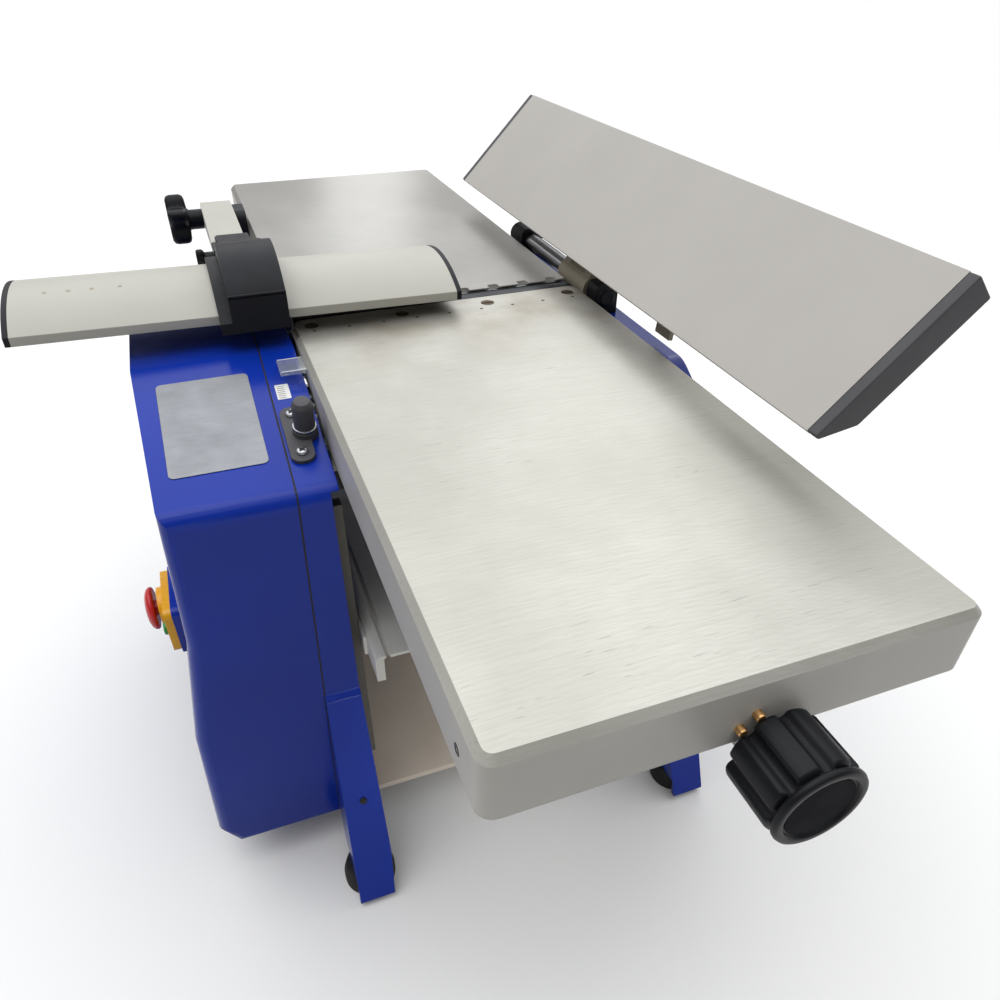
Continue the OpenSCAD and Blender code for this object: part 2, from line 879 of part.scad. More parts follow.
module base_tray() color(taupe) difference() {
    union() {
        box([-frame_in, -tray_y, tray_z], [frame_in, tray_y, tray_z + tray_t]);
        both_sides() box([frame_in - tray_t, -tray_y, tray_z], [frame_in, tray_y, tray_z + tray_flange]);
        both_ends() box([-frame_in, tray_y - tray_t, tray_z - tray_lip], [frame_in, tray_y, tray_z + tray_t]);
    }
    rod_z(lift_r + tray_t, tray_z - over, tray_z + tray_t + over, 0, 0);
}

module rubber_feet() color(rubber) both_sides() both_ends() difference() {
    union() {
        rod_z(foot_d / 2, 0, foot_h / 2, feet_x, feet_y);
        translate([feet_x, feet_y, foot_h / 2])
            cylinder(r1 = foot_d / 2, r2 = foot_d / 2 - tray_t, h = foot_h / 2);
    }
    rod_z(bench_hole_r, -over, foot_h + over, feet_x, feet_y);
}

// Flat bars that tie the castings, and the eye that takes the depth screw
module tie_bars() color(steel) difference() {
    union() {
        both_ends() box([-frame_in, tie_y - tie_w / 2, tie_z], [frame_in, tie_y + tie_w / 2, tie_z + tie_t]);
        box([knob_x - nut_w / 2, -tie_y - nut_l / 2, tie_z],
            [knob_x + nut_w / 2, -tie_y + nut_l / 2, tie_z + nut_h]);
    }
    depth_eye();
}

// The eye is tall enough for the screw to sink with the table
module depth_eye() {
    r = depth_screw_r + rest_gap;
    box([knob_x - r, -tie_y - tie_w, knob_z - cut_depth - r], [knob_x + r, -tie_y + tie_w, knob_z + r]);
}

module guide_pins() color(steel) both_sides() for (y = way_ys)
    rod_x(way_r, frame_in - way_pin_l, frame_in, -y, way_z);

// Side cover

function cover_ring(z, x, i, bulge = 0) = let (in = part_x(z) + fit - 2 * i, out = x - i, end = side_y - i)
    [for (p = rounded([[in, -end, 0], [out, -end, cover_edge_r], [out + bulge, -crease_y, 0],
        [out + bulge, crease_y, 0], [out, end, cover_edge_r], [in, end, 0]])) [p[0], p[1], z]];

function cover_side(i) = rounded([[i - side_y, cover_low + i, cover_low_r],
    [side_y - i, cover_low + i, cover_low_r],
    [side_y - i, corner_z - i, corner_r], [crease_y, top_z - i, crease_r], [-crease_y, top_z - i, crease_r],
    [i - side_y, corner_z - i, corner_r]]);

// The cover's body, drawn in by i all round to make its hollow
module cover_form(i) intersection() {
    along_x(frame_in, cover_x_low + over) polygon(cover_side(i));
    loft([cover_ring(cover_low, cover_x_low - cover_bevel_l, i),
        cover_ring(cover_low + cover_bevel_h, cover_x_low, i), cover_ring(flare_z, cover_x_flare, i),
        cover_ring(waist_z, cover_x_waist, i), cover_ring(top_z + over, cover_x_top, i, cover_bulge)]);
}

module side_cover() color(blue) left() union() {
    difference() {
        cover_form(0);
        cover_form(cover_wall);
    }
    difference() {
        along_x(cover_x_top, pad_out) polygon(rectangle(switch_y - pad_l / 2 - start_room, switch_z - pad_h / 2,
            switch_y + pad_l / 2, switch_z + pad_h / 2, switch_r));
        cover_form(cover_wall);
    }
}

// Cutter block, rollers and fingers

// Pocket of one knife and its gib in the block's own section, radius along the second axis
knife_tip = sqrt(cutter_r * cutter_r - knife_face * knife_face);

module around_cutter() for (i = [0:knife_count - 1])
    translate([0, 0, cutter_z]) rotate([360 * i / knife_count, 0, 0]) children();

module cutter_block() color(steel) difference() {
    union() {
        rod_x(block_r, -cutter_l / 2, cutter_l / 2, 0, cutter_z);
        rod_x(journal_r, -frame_in - bearing_w, frame_in - over, 0, cutter_z);
        rod_x(right_journal_r, 0, frame_in + bearing_w, 0, cutter_z);
        rod_x(pulley_bore_r, -drive_x1 - over, 0, 0, cutter_z);
    }
    around_cutter() box([-cutter_l / 2 - over, knife_face - gib_w, slot_floor],
        [cutter_l / 2 + over, knife_face + knife_t, cutter_r]);
}

module planer_knives() color(machined) around_cutter() along_x(-cutter_l / 2, cutter_l / 2)
    polygon([[knife_face, slot_floor], [knife_face + knife_t, slot_floor],
        [knife_face + knife_t, knife_tip - knife_back_drop], [knife_face, knife_tip]]);

module gib_bars() color(steel) around_cutter() along_x(-cutter_l / 2, cutter_l / 2)
    polygon(rounded([[knife_face - gib_w, slot_floor, 0], [knife_face, slot_floor, 0],
        [knife_face, knife_tip - gib_low - gib_top_drop, 0],
        [knife_face - gib_w / 2, knife_tip - gib_low - 2 * gib_top_drop, gib_dip_r],
        [knife_face - gib_w, knife_tip - gib_low, 0]]));

module bearing(outer, inner) difference() {
    rod_x(outer - fit, frame_in, frame_in + bearing_w, 0, cutter_z);
    rod_x(inner + fit, frame_in - over, frame_in + bearing_w + over, 0, cutter_z);
}

module cutter_bearings() color(steel) {
    left() bearing(bearing_r, journal_r);
    bearing(right_bearing_r, right_journal_r);
}

// A roller's shaft and its gear, with flutes on a driven infeed roller
module roller(y, flutes, phase) difference() {
    union() {
        rod_x(roller_r, -roller_half, roller_half, y, roller_z);
        rod_x(roller_journal_r, -gear_x1, frame_in + casting_web, y, roller_z);
        translate([0, y, roller_z]) along_x(-gear_x1, -gear_x0) rotate(phase)
            polygon(gear_outline(roller_teeth, roller_gear_r, gear_m));
    }
    if (flutes) for (i = [0:flute_n - 1]) let (t = 360 * i / flute_n)
        rod_x(flute_r, -roller_half - over, roller_half + over,
            y + roller_r * cos(t), roller_z + roller_r * sin(t));
}

// Turn of a roller gear that puts a tooth space where the gearbox gear has a tooth
function mesh_phase(a) = let (lead = a % (360 / drive_teeth))
    a + 180 + lead * drive_teeth / roller_teeth + 180 / roller_teeth;

module infeed_roller() color(steel) roller(-roller_y, true, mesh_phase(180 - mesh_a));
module outfeed_roller() color(steel) roller(roller_y, false, mesh_phase(mesh_a));

module roller_bushes() color(bronze) both_sides() for (y = [-roller_y, roller_y]) difference() {
    rod_x(bush_r - fit, frame_in, frame_in + casting_web, y, roller_z);
    rod_x(roller_journal_r + fit, frame_in - over, frame_in + casting_web + over, y, roller_z);
}

module kickback_shaft() color(steel) rod_x(finger_shaft_r, -frame_in, frame_in, finger_y, finger_z);

module kickback_fingers() color(steel) for (i = [0:finger_count - 1]) {
    x = (i - (finger_count - 1) / 2) * finger_pitch;
    difference() {
        union() {
            rod_x(finger_eye_r, x - finger_t / 2, x + finger_t / 2, finger_y, finger_z);
            along_x(x - finger_t / 2, x + finger_t / 2) polygon([[finger_y - finger_eye_r, finger_z],
                [finger_y + finger_lead, finger_z - finger_drop], [finger_y + finger_eye_r, finger_z]]);
        }
        rod_x(finger_shaft_r + fit, x - finger_t, x + finger_t, finger_y, finger_z);
    }
}

// Drive behind the side cover

module cutter_pulleys() color(machined) left() difference() {
    union() {
        rod_x(feed_pulley_r, feed_x0, drive_x0, 0, cutter_z);
        rod_x(cutter_pulley_d / 2, drive_x0, drive_x1, 0, cutter_z);
    }
    rod_x(pulley_bore_r, feed_x0 - over, drive_x1 + over, 0, cutter_z);
}

module motor() color(black) left() difference() {
    union() {
        rod_x(motor_flange_r, frame_in - motor_flange, frame_in, motor_y, motor_z);
        rod_x(motor_d / 2, frame_in - motor_l, frame_in - motor_flange, motor_y, motor_z);
        rod_x(motor_cap_r, frame_in - motor_l - motor_cap_l, frame_in - motor_l, motor_y, motor_z);
    }
    rod_x(motor_shaft_r + fit, frame_in - motor_bore_l, frame_in + over, motor_y, motor_z);
    for (i = [0:motor_fin_n - 1]) let (t = 360 * i / motor_fin_n, r = motor_d / 2)
        rod_x(motor_fin_r, frame_in - motor_l - over, frame_in - motor_flange,
            motor_y + r * cos(t), motor_z + r * sin(t));
}

module motor_pulley() color(machined) left() {
    rod_x(motor_shaft_r, frame_in - motor_bore_l + over, drive_x1, motor_y, motor_z);
    rod_x(motor_pulley_d / 2, drive_x0, drive_x1, motor_y, motor_z);
}

// A flat belt round two pulleys, each given as [y, z, radius]
module belt(x0, x1, a, b) left() along_x(x0, x1) difference() {
    hull() for (p = [a, b]) translate([p[0], p[1]]) circle(r = p[2] + rest_gap + belt_t, $fn = 32);
    hull() for (p = [a, b]) translate([p[0], p[1]]) circle(r = p[2] + rest_gap, $fn = 32);
}

module drive_belt() color(rubber) belt(drive_x0 + belt_in, drive_x1 - belt_in,
    [0, cutter_z, cutter_pulley_d / 2], [motor_y, motor_z, motor_pulley_d / 2]);
module feed_belt() color(rubber) belt(feed_x0 + belt_in, feed_x1 - belt_in,
    [0, cutter_z, feed_pulley_r], [0, drive_gear_z, box_pulley_r]);

module feed_gearbox() color(machined) left() difference() {
    foot_z = drive_gear_z - box_foot_drop;
    union() {
        along_x(box_x0, box_x1) polygon(rectangle(-box_w / 2, drive_gear_z - box_h / 2, box_w / 2,
            drive_gear_z + box_h / 2, box_r));
        along_x(box_x0, box_x0 + box_foot_t) polygon(rectangle(-box_foot_y - box_r, foot_z - box_foot_h / 2,
            box_foot_y + box_r, foot_z + box_foot_h / 2, box_r));
        for (y = [-box_foot_y, box_foot_y]) rod_x(box_foot_r, frame_in + casting_web, box_x0 + shim, y, foot_z);
    }
    rod_x(box_shaft_r + fit, box_x0 - over, box_x0 + box_shaft_l, 0, drive_gear_z);
    rod_x(input_r + fit, box_x1 - box_shaft_l, box_x1 + over, 0, drive_gear_z);
}

module gearbox_pulley() color(machined) left() {
    rod_x(box_pulley_r, feed_x0, feed_x1, 0, drive_gear_z);
    rod_x(input_r, box_x1 - box_shaft_l + over, feed_x1, 0, drive_gear_z);
}

module gearbox_gear() color(steel) {
    translate([0, 0, drive_gear_z]) along_x(-gear_x1, -gear_x0)
        polygon(gear_outline(drive_teeth, drive_gear_r, gear_m));
    rod_x(box_shaft_r, -box_x0 - box_shaft_l + over, -gear_x0, 0, drive_gear_z);
}

// Thicknessing bed and its lift

module thickness_bed() color(off_white) difference() {
    x = bed_w / 2;
    x_in = x - bed_wall;
    low = bed_z - bed_h;
    under = bed_z - bed_plate;
    union() {
        difference() {
            along_y(-bed_l / 2, bed_l / 2) polygon(rounded([[-x, low, 0], [x, low, 0], [x, bed_z, bed_edge_r],
                [-x, bed_z, bed_edge_r]]));
            box([-x_in, -bed_l, low - over], [x_in, bed_l, under]);
            both_ends() along_x(-x_in, x_in) polygon([[bed_l / 2 - bed_nose_l, under - over],
                [bed_l / 2 - bed_nose_l, under], [bed_l / 2, bed_z - bed_nose_t],
                [bed_l / 2 + over, bed_z - bed_nose_t], [bed_l / 2 + over, under - over]]);
        }
        rod_z(bed_boss_r, low, under + shim, 0, 0);
        for (s = bed_rib_shares) box([-x_in - shim, bed_l * s, low],
            [x_in + shim, bed_l * s + rib_t, under + shim]);
        both_sides() both_ends() box([x - shim, guide_y - shoe_l / 2, low],
            [frame_in - guide_t - rest_gap, guide_y + shoe_l / 2, bed_z - bed_edge_r]);
    }
    both_sides() box([x - bed_groove_x, -bed_l, bed_z - bed_groove_h],
        [x - bed_groove_x + bed_groove_w, bed_l, bed_z + over]);
    rod_z(lift_r + fit, low - over, under, 0, 0);
}

module lift_screw() color(steel) rod_z(lift_r, lift_low, bed_z - bed_plate, 0, 0);

module bed_guides() color(steel) both_sides() both_ends()
    box([frame_in - guide_t, guide_y - guide_w / 2, guide_z0], [frame_in, guide_y + guide_w / 2, guide_z1]);

// Bevel gear whose teeth run towards the crossing point of the two shafts, base at z = 0
module bevel_gear() linear_extrude(bevel_b, scale = (bevel_r - bevel_b) / bevel_r)
    polygon(gear_outline(bevel_n, bevel_r, bevel_m));

module lift_pedestal() color(machined) {
    base = tray_z + tray_t;
    difference() {
        rod_z(pedestal_r, base, crank_z - bevel_r - bevel_base - rest_gap, 0, 0);
        rod_z(hub_r + fit, base - over, crank_z, 0, 0);
    }
    difference() {
        along_x(post_x, post_x + post_t) polygon(rounded([[-post_w / 2, base, 0], [post_w / 2, base, 0],
            [post_w / 2, crank_z + post_w / 2, post_w / 3], [-post_w / 2, crank_z + post_w / 2, post_w / 3]]));
        rod_x(crank_shaft_r + fit, post_x - over, post_x + post_t + over, 0, crank_z);
    }
}

module lift_gear() color(bronze) difference() {
    union() {
        translate([0, 0, crank_z - bevel_r]) bevel_gear();
        rod_z(bevel_r - bevel_base, crank_z - bevel_r - bevel_base, crank_z - bevel_r + shim, 0, 0);
        rod_z(hub_r, tray_z + tray_t + rest_gap, crank_z - bevel_r - bevel_base + shim, 0, 0);
        rod_z(nut_r, crank_z - bevel_r, nut_top, 0, 0);
    }
    rod_z(lift_r + fit, tray_z, nut_top + over, 0, 0);
}

module crank_shaft() color(steel) {
    translate([bevel_r, 0, crank_z]) rotate([0, -90, 0]) rotate(180 / bevel_n) bevel_gear();
    rod_x(bevel_r - bevel_base, bevel_r - shim, bevel_r + bevel_base, 0, crank_z);
    rod_x(crank_shaft_r, bevel_r, crank_x + crank_t, 0, crank_z);
}

module crank_arm() color(steel) {
    tip_z = crank_z + crank_r;
    difference() {
        along_x(crank_x, crank_x + crank_t) union() {
            translate([0, crank_z]) circle(crank_hub_r);
            translate([0, tip_z]) circle(crank_tip_r);
            polygon([[-crank_hub_r, crank_z], [crank_hub_r, crank_z],
                [crank_tip_r, tip_z], [-crank_tip_r, tip_z]]);
        }
        rod_x(crank_shaft_r + fit, crank_x - over, crank_x + crank_t + over, 0, crank_z);
    }
    rod_x(grip_pin_r, crank_x + crank_t - shim, crank_x + crank_t + grip_l, 0, tip_z);
}

module crank_grip() color(black) {
    x0 = crank_x + crank_t + rest_gap;
    difference() {
        union() {
            translate([x0, 0, crank_z + crank_r]) rotate([0, 90, 0])
                cylinder(r1 = grip_bead_r, r2 = grip_r, h = grip_l / 2);
            translate([x0 + grip_l / 2, 0, crank_z + crank_r]) rotate([0, 90, 0])
                cylinder(r1 = grip_r, r2 = grip_bead_r, h = grip_l / 2);
        }
        rod_x(grip_pin_r + fit, x0 - over, crank_x + crank_t + grip_l + rest_gap, 0, crank_z + crank_r);
    }
}

// Fence

// Places a piece that is drawn upright about the pivot at the fence's lean
module leaning() translate([pivot_x, 0, pivot_z]) rotate([0, fence_tilt, 0]) children();

function fence_section(i) = [[fence_x + i, fence_z + 2 * i], [fence_x + fence_toe - i / 2, fence_z + 2 * i],
    [fence_x + fence_t - i, fence_z + fence_chamfer + i], [fence_x + fence_t - i, fence_z + fence_h - i],
    [fence_x + i, fence_z + fence_h - i]];

module fence_profile() color(off_white) leaning() {
    y0 = fence_y0 + cap_t;
    y1 = fence_y0 + fence_l - cap_t;
    web_z = fence_z + fence_h * web_share;
    difference() {
        along_y(y0, y1) polygon(fence_section(0));
        along_y(y0 - over, y1 + over) polygon(fence_section(fence_wall));
    }
    box([fence_x + fence_wall - shim, y0, web_z], [fence_x + fence_t - fence_wall + shim, y1, web_z + fence_wall]);
}

module fence_end_caps() color(black) leaning()
    for (y = [fence_y0, fence_y0 + fence_l - cap_t]) along_y(y, y + cap_t) polygon(fence_section(0));

// Cast sleeve and plate that carry the fence, with a stop tab of their own plate
module fence_arm() color(taupe) leaning() {
    back = fence_x + fence_t;
    root = [back + arm_t / 2, fence_z + tab_low];
    tip = [tab_x, tab_z];
    side = tab_t * unit([root[1] - tip[1], tip[0] - root[0]]);
    difference() {
        union() {
            rod_y(sleeve_r, sleeve_y0, sleeve_y1, 0, 0);
            for (y = [sleeve_y0 + over, sleeve_y1 - gusset_t - over]) along_y(y, y + gusset_t)
                polygon([[back + arm_t / 2, fence_z + arm_low + over], [over - sleeve_r, 0], [0, sleeve_r - over],
                    [back + arm_t / 2, fence_z + arm_high - over]]);
        }
        rod_y(fence_shaft_r + fit, sleeve_y0 - over, sleeve_y1 + over, 0, 0);
    }
    box([back, tab_y0 - over, fence_z + arm_low], [back + arm_t, sleeve_y1 + over, fence_z + arm_high]);
    along_y(tab_y0, tab_y0 + tab_w) polygon(concat([root, tip], [tip + side, root + side]));
}

module fence_shaft() color(machined) rod_y(fence_shaft_r, ear_y0, ear_y1 + ear_t + lever_hub_l, pivot_x, pivot_z);

module fence_bracket() color(black) for (y = [ear_y0, ear_y1]) difference() {
    along_y(y, y + ear_t) polygon(rounded([[pivot_x - ear_w / 2, right_top_z, 0],
        [pivot_x + ear_w / 2, right_top_z, 0],
        [pivot_x + ear_w / 2, pivot_z + ear_top_r, ear_top_r / 2],
        [pivot_x - ear_w / 2, pivot_z + ear_top_r, ear_top_r / 2]]));
    rod_y(fence_shaft_r, y - over, y + ear_t + over, pivot_x, pivot_z);
}

module fence_lock_lever() color(black) {
    y0 = ear_y1 + ear_t + rest_gap;
    difference() {
        union() {
            rod_y(lever_hub_r, y0, y0 + lever_hub_l, pivot_x, pivot_z);
            along_y(y0 + lever_hub_l / 4, y0 + lever_hub_l) polygon(rounded([[pivot_x, pivot_z - lever_w / 2, 0],
                [pivot_x + lever_l, pivot_z - lever_w, lever_w / 3],
                [pivot_x + lever_l, pivot_z + lever_w, lever_w / 3],
                [pivot_x, pivot_z + lever_w / 2, 0]]));
        }
        rod_y(fence_shaft_r + fit, y0 - over, y0 + lever_hub_l + over, pivot_x, pivot_z);
    }
}

// Bridge guard

// The arched section, grown by i, closed straight across at the height of its lips' feet
module guard_section(i) intersection() {
    translate([guard_y, guard_arc_z]) circle(r = guard_arc_r + i, $fn = 96);
    translate([guard_y - guard_half - i, guard_z - i]) square([guard_w + 2 * i, guard_arc_r]);
}

// Turns a piece about the middle of the saddle to the guard's droop
module drooping() translate([droop_x, 0, guard_z]) rotate([0, guard_droop, 0])
    translate([-droop_x, 0, -guard_z]) children();

module guard_profile() color(off_white) drooping()
    along_x(guard_x0 + guard_cap_t, guard_x0 + guard_l - guard_cap_t) {
        difference() {
            guard_section(0);
            guard_section(-guard_wall);
            translate([guard_y - guard_half + guard_wall + guard_foot, guard_z - over])
                square([guard_w - 2 * guard_wall - 2 * guard_foot, guard_lip]);
        }
    }

module guard_end_caps() color(black) drooping()
    for (x = [guard_x0, guard_x0 + guard_l - guard_cap_t]) along_x(x, x + guard_cap_t) guard_section(0);

// Saddle that the guard slides through, with ears for the hinge pin at its rear
module guard_holder() color(black) difference() {
    y0 = guard_y - guard_half - holder_front;
    y1 = guard_y + guard_half + holder_rear;
    x1 = holder_x0 + holder_w;
    union() {
        along_x(holder_x0, x1) intersection() {
            union() {
                translate([guard_y, guard_arc_z]) circle(r = guard_arc_r + holder_top, $fn = 96);
                translate([hump_y, hump_z]) circle(r = hump_r, $fn = 96);
            }
            translate([y0, guard_z - holder_floor]) square([y1 - y0, guard_arc_r]);
        }
        along_x(holder_x0 - holder_rim_w, holder_x0 + over) intersection() {
            translate([guard_y, guard_arc_z]) circle(r = guard_arc_r + holder_rim_t, $fn = 96);
            translate([y0, guard_z - holder_floor]) square([holder_rim_y - y0, guard_arc_r]);
        }
        for (x = [[holder_x0, knuckle_x0 - rest_gap], [knuckle_x0 + knuckle_w + rest_gap, x1]])
            along_x(x[0], x[1]) polygon(rounded([[y1 - holder_rear, guard_z - holder_floor, 0],
                [hinge_y + hinge_eye_r, guard_z - holder_floor, hinge_eye_r / 2],
                [hinge_y + hinge_eye_r, hinge_z + hinge_eye_r, hinge_eye_r],
                [y1 - holder_rear, hinge_z + hinge_eye_r, 0]]));
    }
    drooping() along_x(holder_x0 - holder_rim_w - over, x1 + over) union() {
        guard_section(holder_play);
        translate([guard_y - guard_half + holder_hook, guard_z - holder_floor - over])
            square([guard_w - 2 * holder_hook, holder_floor + 2 * over]);
    }
    rod_x(hinge_r, holder_x0 - over, x1 + over, hinge_y, hinge_z);
    rod_x(wing_pin_r + fit, holder_x0 - over, holder_x0 + wing_pin_l, wing_y, wing_z);
}

module guard_hinge_pin() color(steel) rod_x(hinge_r, holder_x0, holder_x0 + holder_w, hinge_y, hinge_z);

// Moulded knuckle that fills the front of the arm and turns on the hinge pin,
// with a tongue that lies on the arm and reaches over the saddle
module arm_knuckle() color(black) difference() {
    x1 = knuckle_x0 + knuckle_w;
    ear_y = hinge_y + hinge_eye_r + over;
    ear_z = hinge_z + hinge_eye_r + 2 * rest_gap;
    tip_y = hinge_y - tongue_ahead;
    tip_z = hinge_z + tongue_rise;
    union() {
        rod_x(hinge_eye_r, knuckle_x0, x1, hinge_y, hinge_z);
        along_x(knuckle_x0, x1) polygon([[hinge_y, hinge_z - hinge_eye_r], [arm_y0, arm_z - arm_deep / 2],
            [hinge_y + knuckle_l, arm_z - arm_deep / 2], [hinge_y + knuckle_l, arm_z - arm_wall - fit],
            [arm_y0 - fit, arm_z - arm_wall - fit], [arm_y0 - fit, arm_z + tongue_t], [ear_y, ear_z + over],
            [hinge_y, ear_z + over]]);
        along_x(arm_x0 + tongue_in, arm_x0 + tongue_in + tongue_w) polygon([[arm_y0 + tongue_back, arm_z + fit],
            [arm_y0 - fit, arm_z + fit], [ear_y, ear_z], [tip_y, tip_z], [tip_y, tip_z + tongue_t],
            [ear_y - over, ear_z + tongue_t], [arm_y0 + tongue_t, arm_z + tongue_t],
            [arm_y0 + tongue_back, arm_z + tongue_t]]);
    }
    rod_x(hinge_r + fit, knuckle_x0 - over, x1 + over, hinge_y, hinge_z);
}

// Folded channel that swings about the post's stud
module guard_arm() color(off_white) difference() {
    y0 = arm_y0;
    y1 = post_y + arm_tail;
    low = arm_z - arm_deep;
    along_x(arm_x0, arm_x1) polygon(rounded([[y0, arm_z - arm_deep / 2, 0], [post_y - arm_tail, low, arm_tail],
        [y1, low, arm_tail / 2], [y1, arm_z, arm_tail / 3], [y0, arm_z, 0]]));
    along_x(arm_x0 + arm_wall, arm_x1 - arm_wall) polygon([[y0 - over, low - over], [y1 - arm_wall, low - over],
        [y1 - arm_wall, arm_z - arm_wall], [y0 - over, arm_z - arm_wall]]);
    rod_x(stud_r + fit, arm_x0 - over, arm_x1 + over, post_y, post_z);
}

// Block on the outfeed table's side, with the stud that carries the arm
module guard_post() color(black) {
    along_x(arm_x1 + rest_gap, -post_x1) polygon(rounded([[post_y - post_l / 2, post_low, edge_r],
        [post_y + post_l / 2, post_low, edge_r], [post_y + post_l / 2, post_z + stud_r + edge_r, post_l / 4],
        [post_y - post_l / 2, post_z + stud_r + edge_r, post_l / 4]]));
    rod_x(stud_r, arm_x0 - star_hub_l, arm_x1 + rest_gap + shim, post_y, post_z);
}

function star_outline(r) = [for (i = [0:star_steps - 1]) let (t = 360 * i / star_steps)
    r * (1 - star_wave_share + star_wave_share * cos(star_lobes * t)) * [cos(t), sin(t)]];

module arm_star_knob() color(black) difference() {
    x1 = arm_x0 - rest_gap;
    union() {
        rod_x(star_hub_r, x1 - star_hub_l, x1, post_y, post_z);
        translate([0, post_y, post_z]) along_x(x1 - star_hub_l - star_t, x1 - star_hub_l)
            polygon(star_outline(star_d / 2));
    }
    rod_x(stud_r + fit, arm_x0 - star_hub_l - over, arm_x0 + over, post_y, post_z);
}

module guard_wing_knob() color(black) {
    x1 = holder_x0 - rest_gap;
    rod_x(wing_pin_r, x1, holder_x0 + wing_pin_l - over, wing_y, wing_z);
    rod_x(wing_hub_r, x1 - wing_hub_l, x1, wing_y, wing_z);
    along_x(x1 - wing_hub_l - wing_t, x1 - wing_hub_l)
        polygon(rectangle(wing_y - wing_h / 2, wing_z - wing_span / 2,
        wing_y + wing_h / 2, wing_z + wing_span / 2, wing_h / 3));
}

// Switch on the side cover

module switch_housing() color(yellow) left() difference() {
    union() {
        along_x(pad_out, pad_out + switch_t)
            polygon(rectangle(switch_y - switch_l / 2 - start_room, switch_z - switch_h / 2,
            switch_y + switch_l / 2, switch_z + switch_h / 2, switch_r));
        rod_x(neck_r, pad_out + switch_t - shim, stop_x0 - stop_travel - rest_gap, switch_y, switch_z);
    }
    rod_x(stop_stem_r + fit, pad_out + over, stop_x0, switch_y, switch_z);
    rod_x(start_r + fit, pad_out + over, pad_out + switch_t + over, switch_y - start_ahead, switch_z);
}

module stop_button() color(red) left() {
    rod_x(stop_stem_r, pad_out + switch_t, stop_x0 + shim, switch_y, switch_z);
    translate([stop_x0, switch_y, switch_z]) rotate([0, 90, 0]) {
        cylinder(r = stop_d / 2, h = stop_t / 3);
        translate([0, 0, stop_t / 3]) cylinder(r1 = stop_d / 2, r2 = stop_d / 4, h = stop_t * 2 / 3);
    }
}

module start_button() color(green) left()
    rod_x(start_r, pad_out + switch_t - button_l / 2, pad_out + switch_t + start_out,
        switch_y - start_ahead, switch_z);

// Lock pin on the sloping top of the left casting

module on_slope(y) translate([0, y, slope_z(y)]) rotate([slope_a, 0, 0]) children();

module lock_bracket() color(black) on_slope(lock_y) difference() {
    union() {
        along_z(0, lock_t)
            polygon(rectangle(lock_x - lock_w / 2, -lock_l / 2, lock_x + lock_w / 2, lock_l / 2, lock_w / 2 - over));
        rod_z(lock_body_r, 0, lock_body_h, lock_x + lock_pin_x, 0);
    }
    rod_z(lock_neck_r + fit, lock_t, lock_body_h + over, lock_x + lock_pin_x, 0);
    rod_z(lock_stem_r + fit, -over, lock_body_h, lock_x + lock_pin_x, 0);
}

module lock_pin() color(black) on_slope(lock_y) translate([lock_x + lock_pin_x, 0, 0]) {
    cap_z = lock_body_h + rest_gap;
    rod_z(lock_stem_r, -lock_stem_l, cap_z + shim, 0, 0);
    rod_z(lock_neck_r, lock_t + rest_gap, cap_z + shim, 0, 0);
    rod_z(lock_cap_r, cap_z, cap_z + lock_cap_h - lock_bevel, 0, 0);
    translate([0, 0, cap_z + lock_cap_h - lock_bevel])
        cylinder(r1 = lock_cap_r, r2 = lock_cap_r - lock_bevel, h = lock_bevel);
}

infeed_table();
infeed_lip();
lip_screws();
depth_pointer();
depth_knob();
depth_screw();
outfeed_table();
outfeed_bolts();
left_casting();
right_casting();
side_cover();
base_tray();
tie_bars();
guide_pins();
rubber_feet();
cutter_block();
planer_knives();
gib_bars();
cutter_bearings();
cutter_pulleys();
motor();
motor_pulley();
drive_belt();
feed_gearbox();
gearbox_pulley();
feed_belt();
gearbox_gear();
infeed_roller();
outfeed_roller();
roller_bushes();
kickback_shaft();
kickback_fingers();
thickness_bed();
lift_screw();
bed_guides();
lift_pedestal();
lift_gear();
crank_shaft();
crank_arm();
crank_grip();
fence_profile();
fence_end_caps();
fence_arm();
fence_shaft();
fence_bracket();
fence_lock_lever();
guard_profile();
guard_end_caps();
guard_holder();
guard_hinge_pin();
arm_knuckle();
guard_arm();
guard_post();
arm_star_knob();
guard_wing_knob();
switch_housing();
stop_button();
start_button();
lock_bracket();
lock_pin();
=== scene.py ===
# Looks of a benchtop planer thicknesser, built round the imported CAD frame.
import json
import math

import bmesh
import bpy
from mathutils import Matrix, Vector
from mathutils.geometry import convex_hull_2d


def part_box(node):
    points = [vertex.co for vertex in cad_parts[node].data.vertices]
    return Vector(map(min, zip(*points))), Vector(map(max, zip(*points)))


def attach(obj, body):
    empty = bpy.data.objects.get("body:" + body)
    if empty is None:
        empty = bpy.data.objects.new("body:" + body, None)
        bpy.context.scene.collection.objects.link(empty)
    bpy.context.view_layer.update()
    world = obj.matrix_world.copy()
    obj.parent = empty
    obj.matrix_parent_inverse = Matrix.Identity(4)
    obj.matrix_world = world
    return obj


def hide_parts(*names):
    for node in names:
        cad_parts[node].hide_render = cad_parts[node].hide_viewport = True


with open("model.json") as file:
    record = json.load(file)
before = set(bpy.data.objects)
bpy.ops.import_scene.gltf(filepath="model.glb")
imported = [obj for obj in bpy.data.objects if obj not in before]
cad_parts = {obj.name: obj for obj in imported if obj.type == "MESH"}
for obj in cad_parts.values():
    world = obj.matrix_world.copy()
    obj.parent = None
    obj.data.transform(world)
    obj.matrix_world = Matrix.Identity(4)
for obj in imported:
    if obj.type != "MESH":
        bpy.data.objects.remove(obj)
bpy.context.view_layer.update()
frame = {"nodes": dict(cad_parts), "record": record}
NODES = frame["nodes"]
BODY = {node: body for body, nodes in frame["record"]["behaviour"]["bodies"].items() for node in nodes}
SLOT = {part["node"]: part["material_slot"] for part in frame["record"]["subparts"]}
MM = 0.001
LEFT = Vector((-1, 0, 0))
RIGHT = Vector((1, 0, 0))
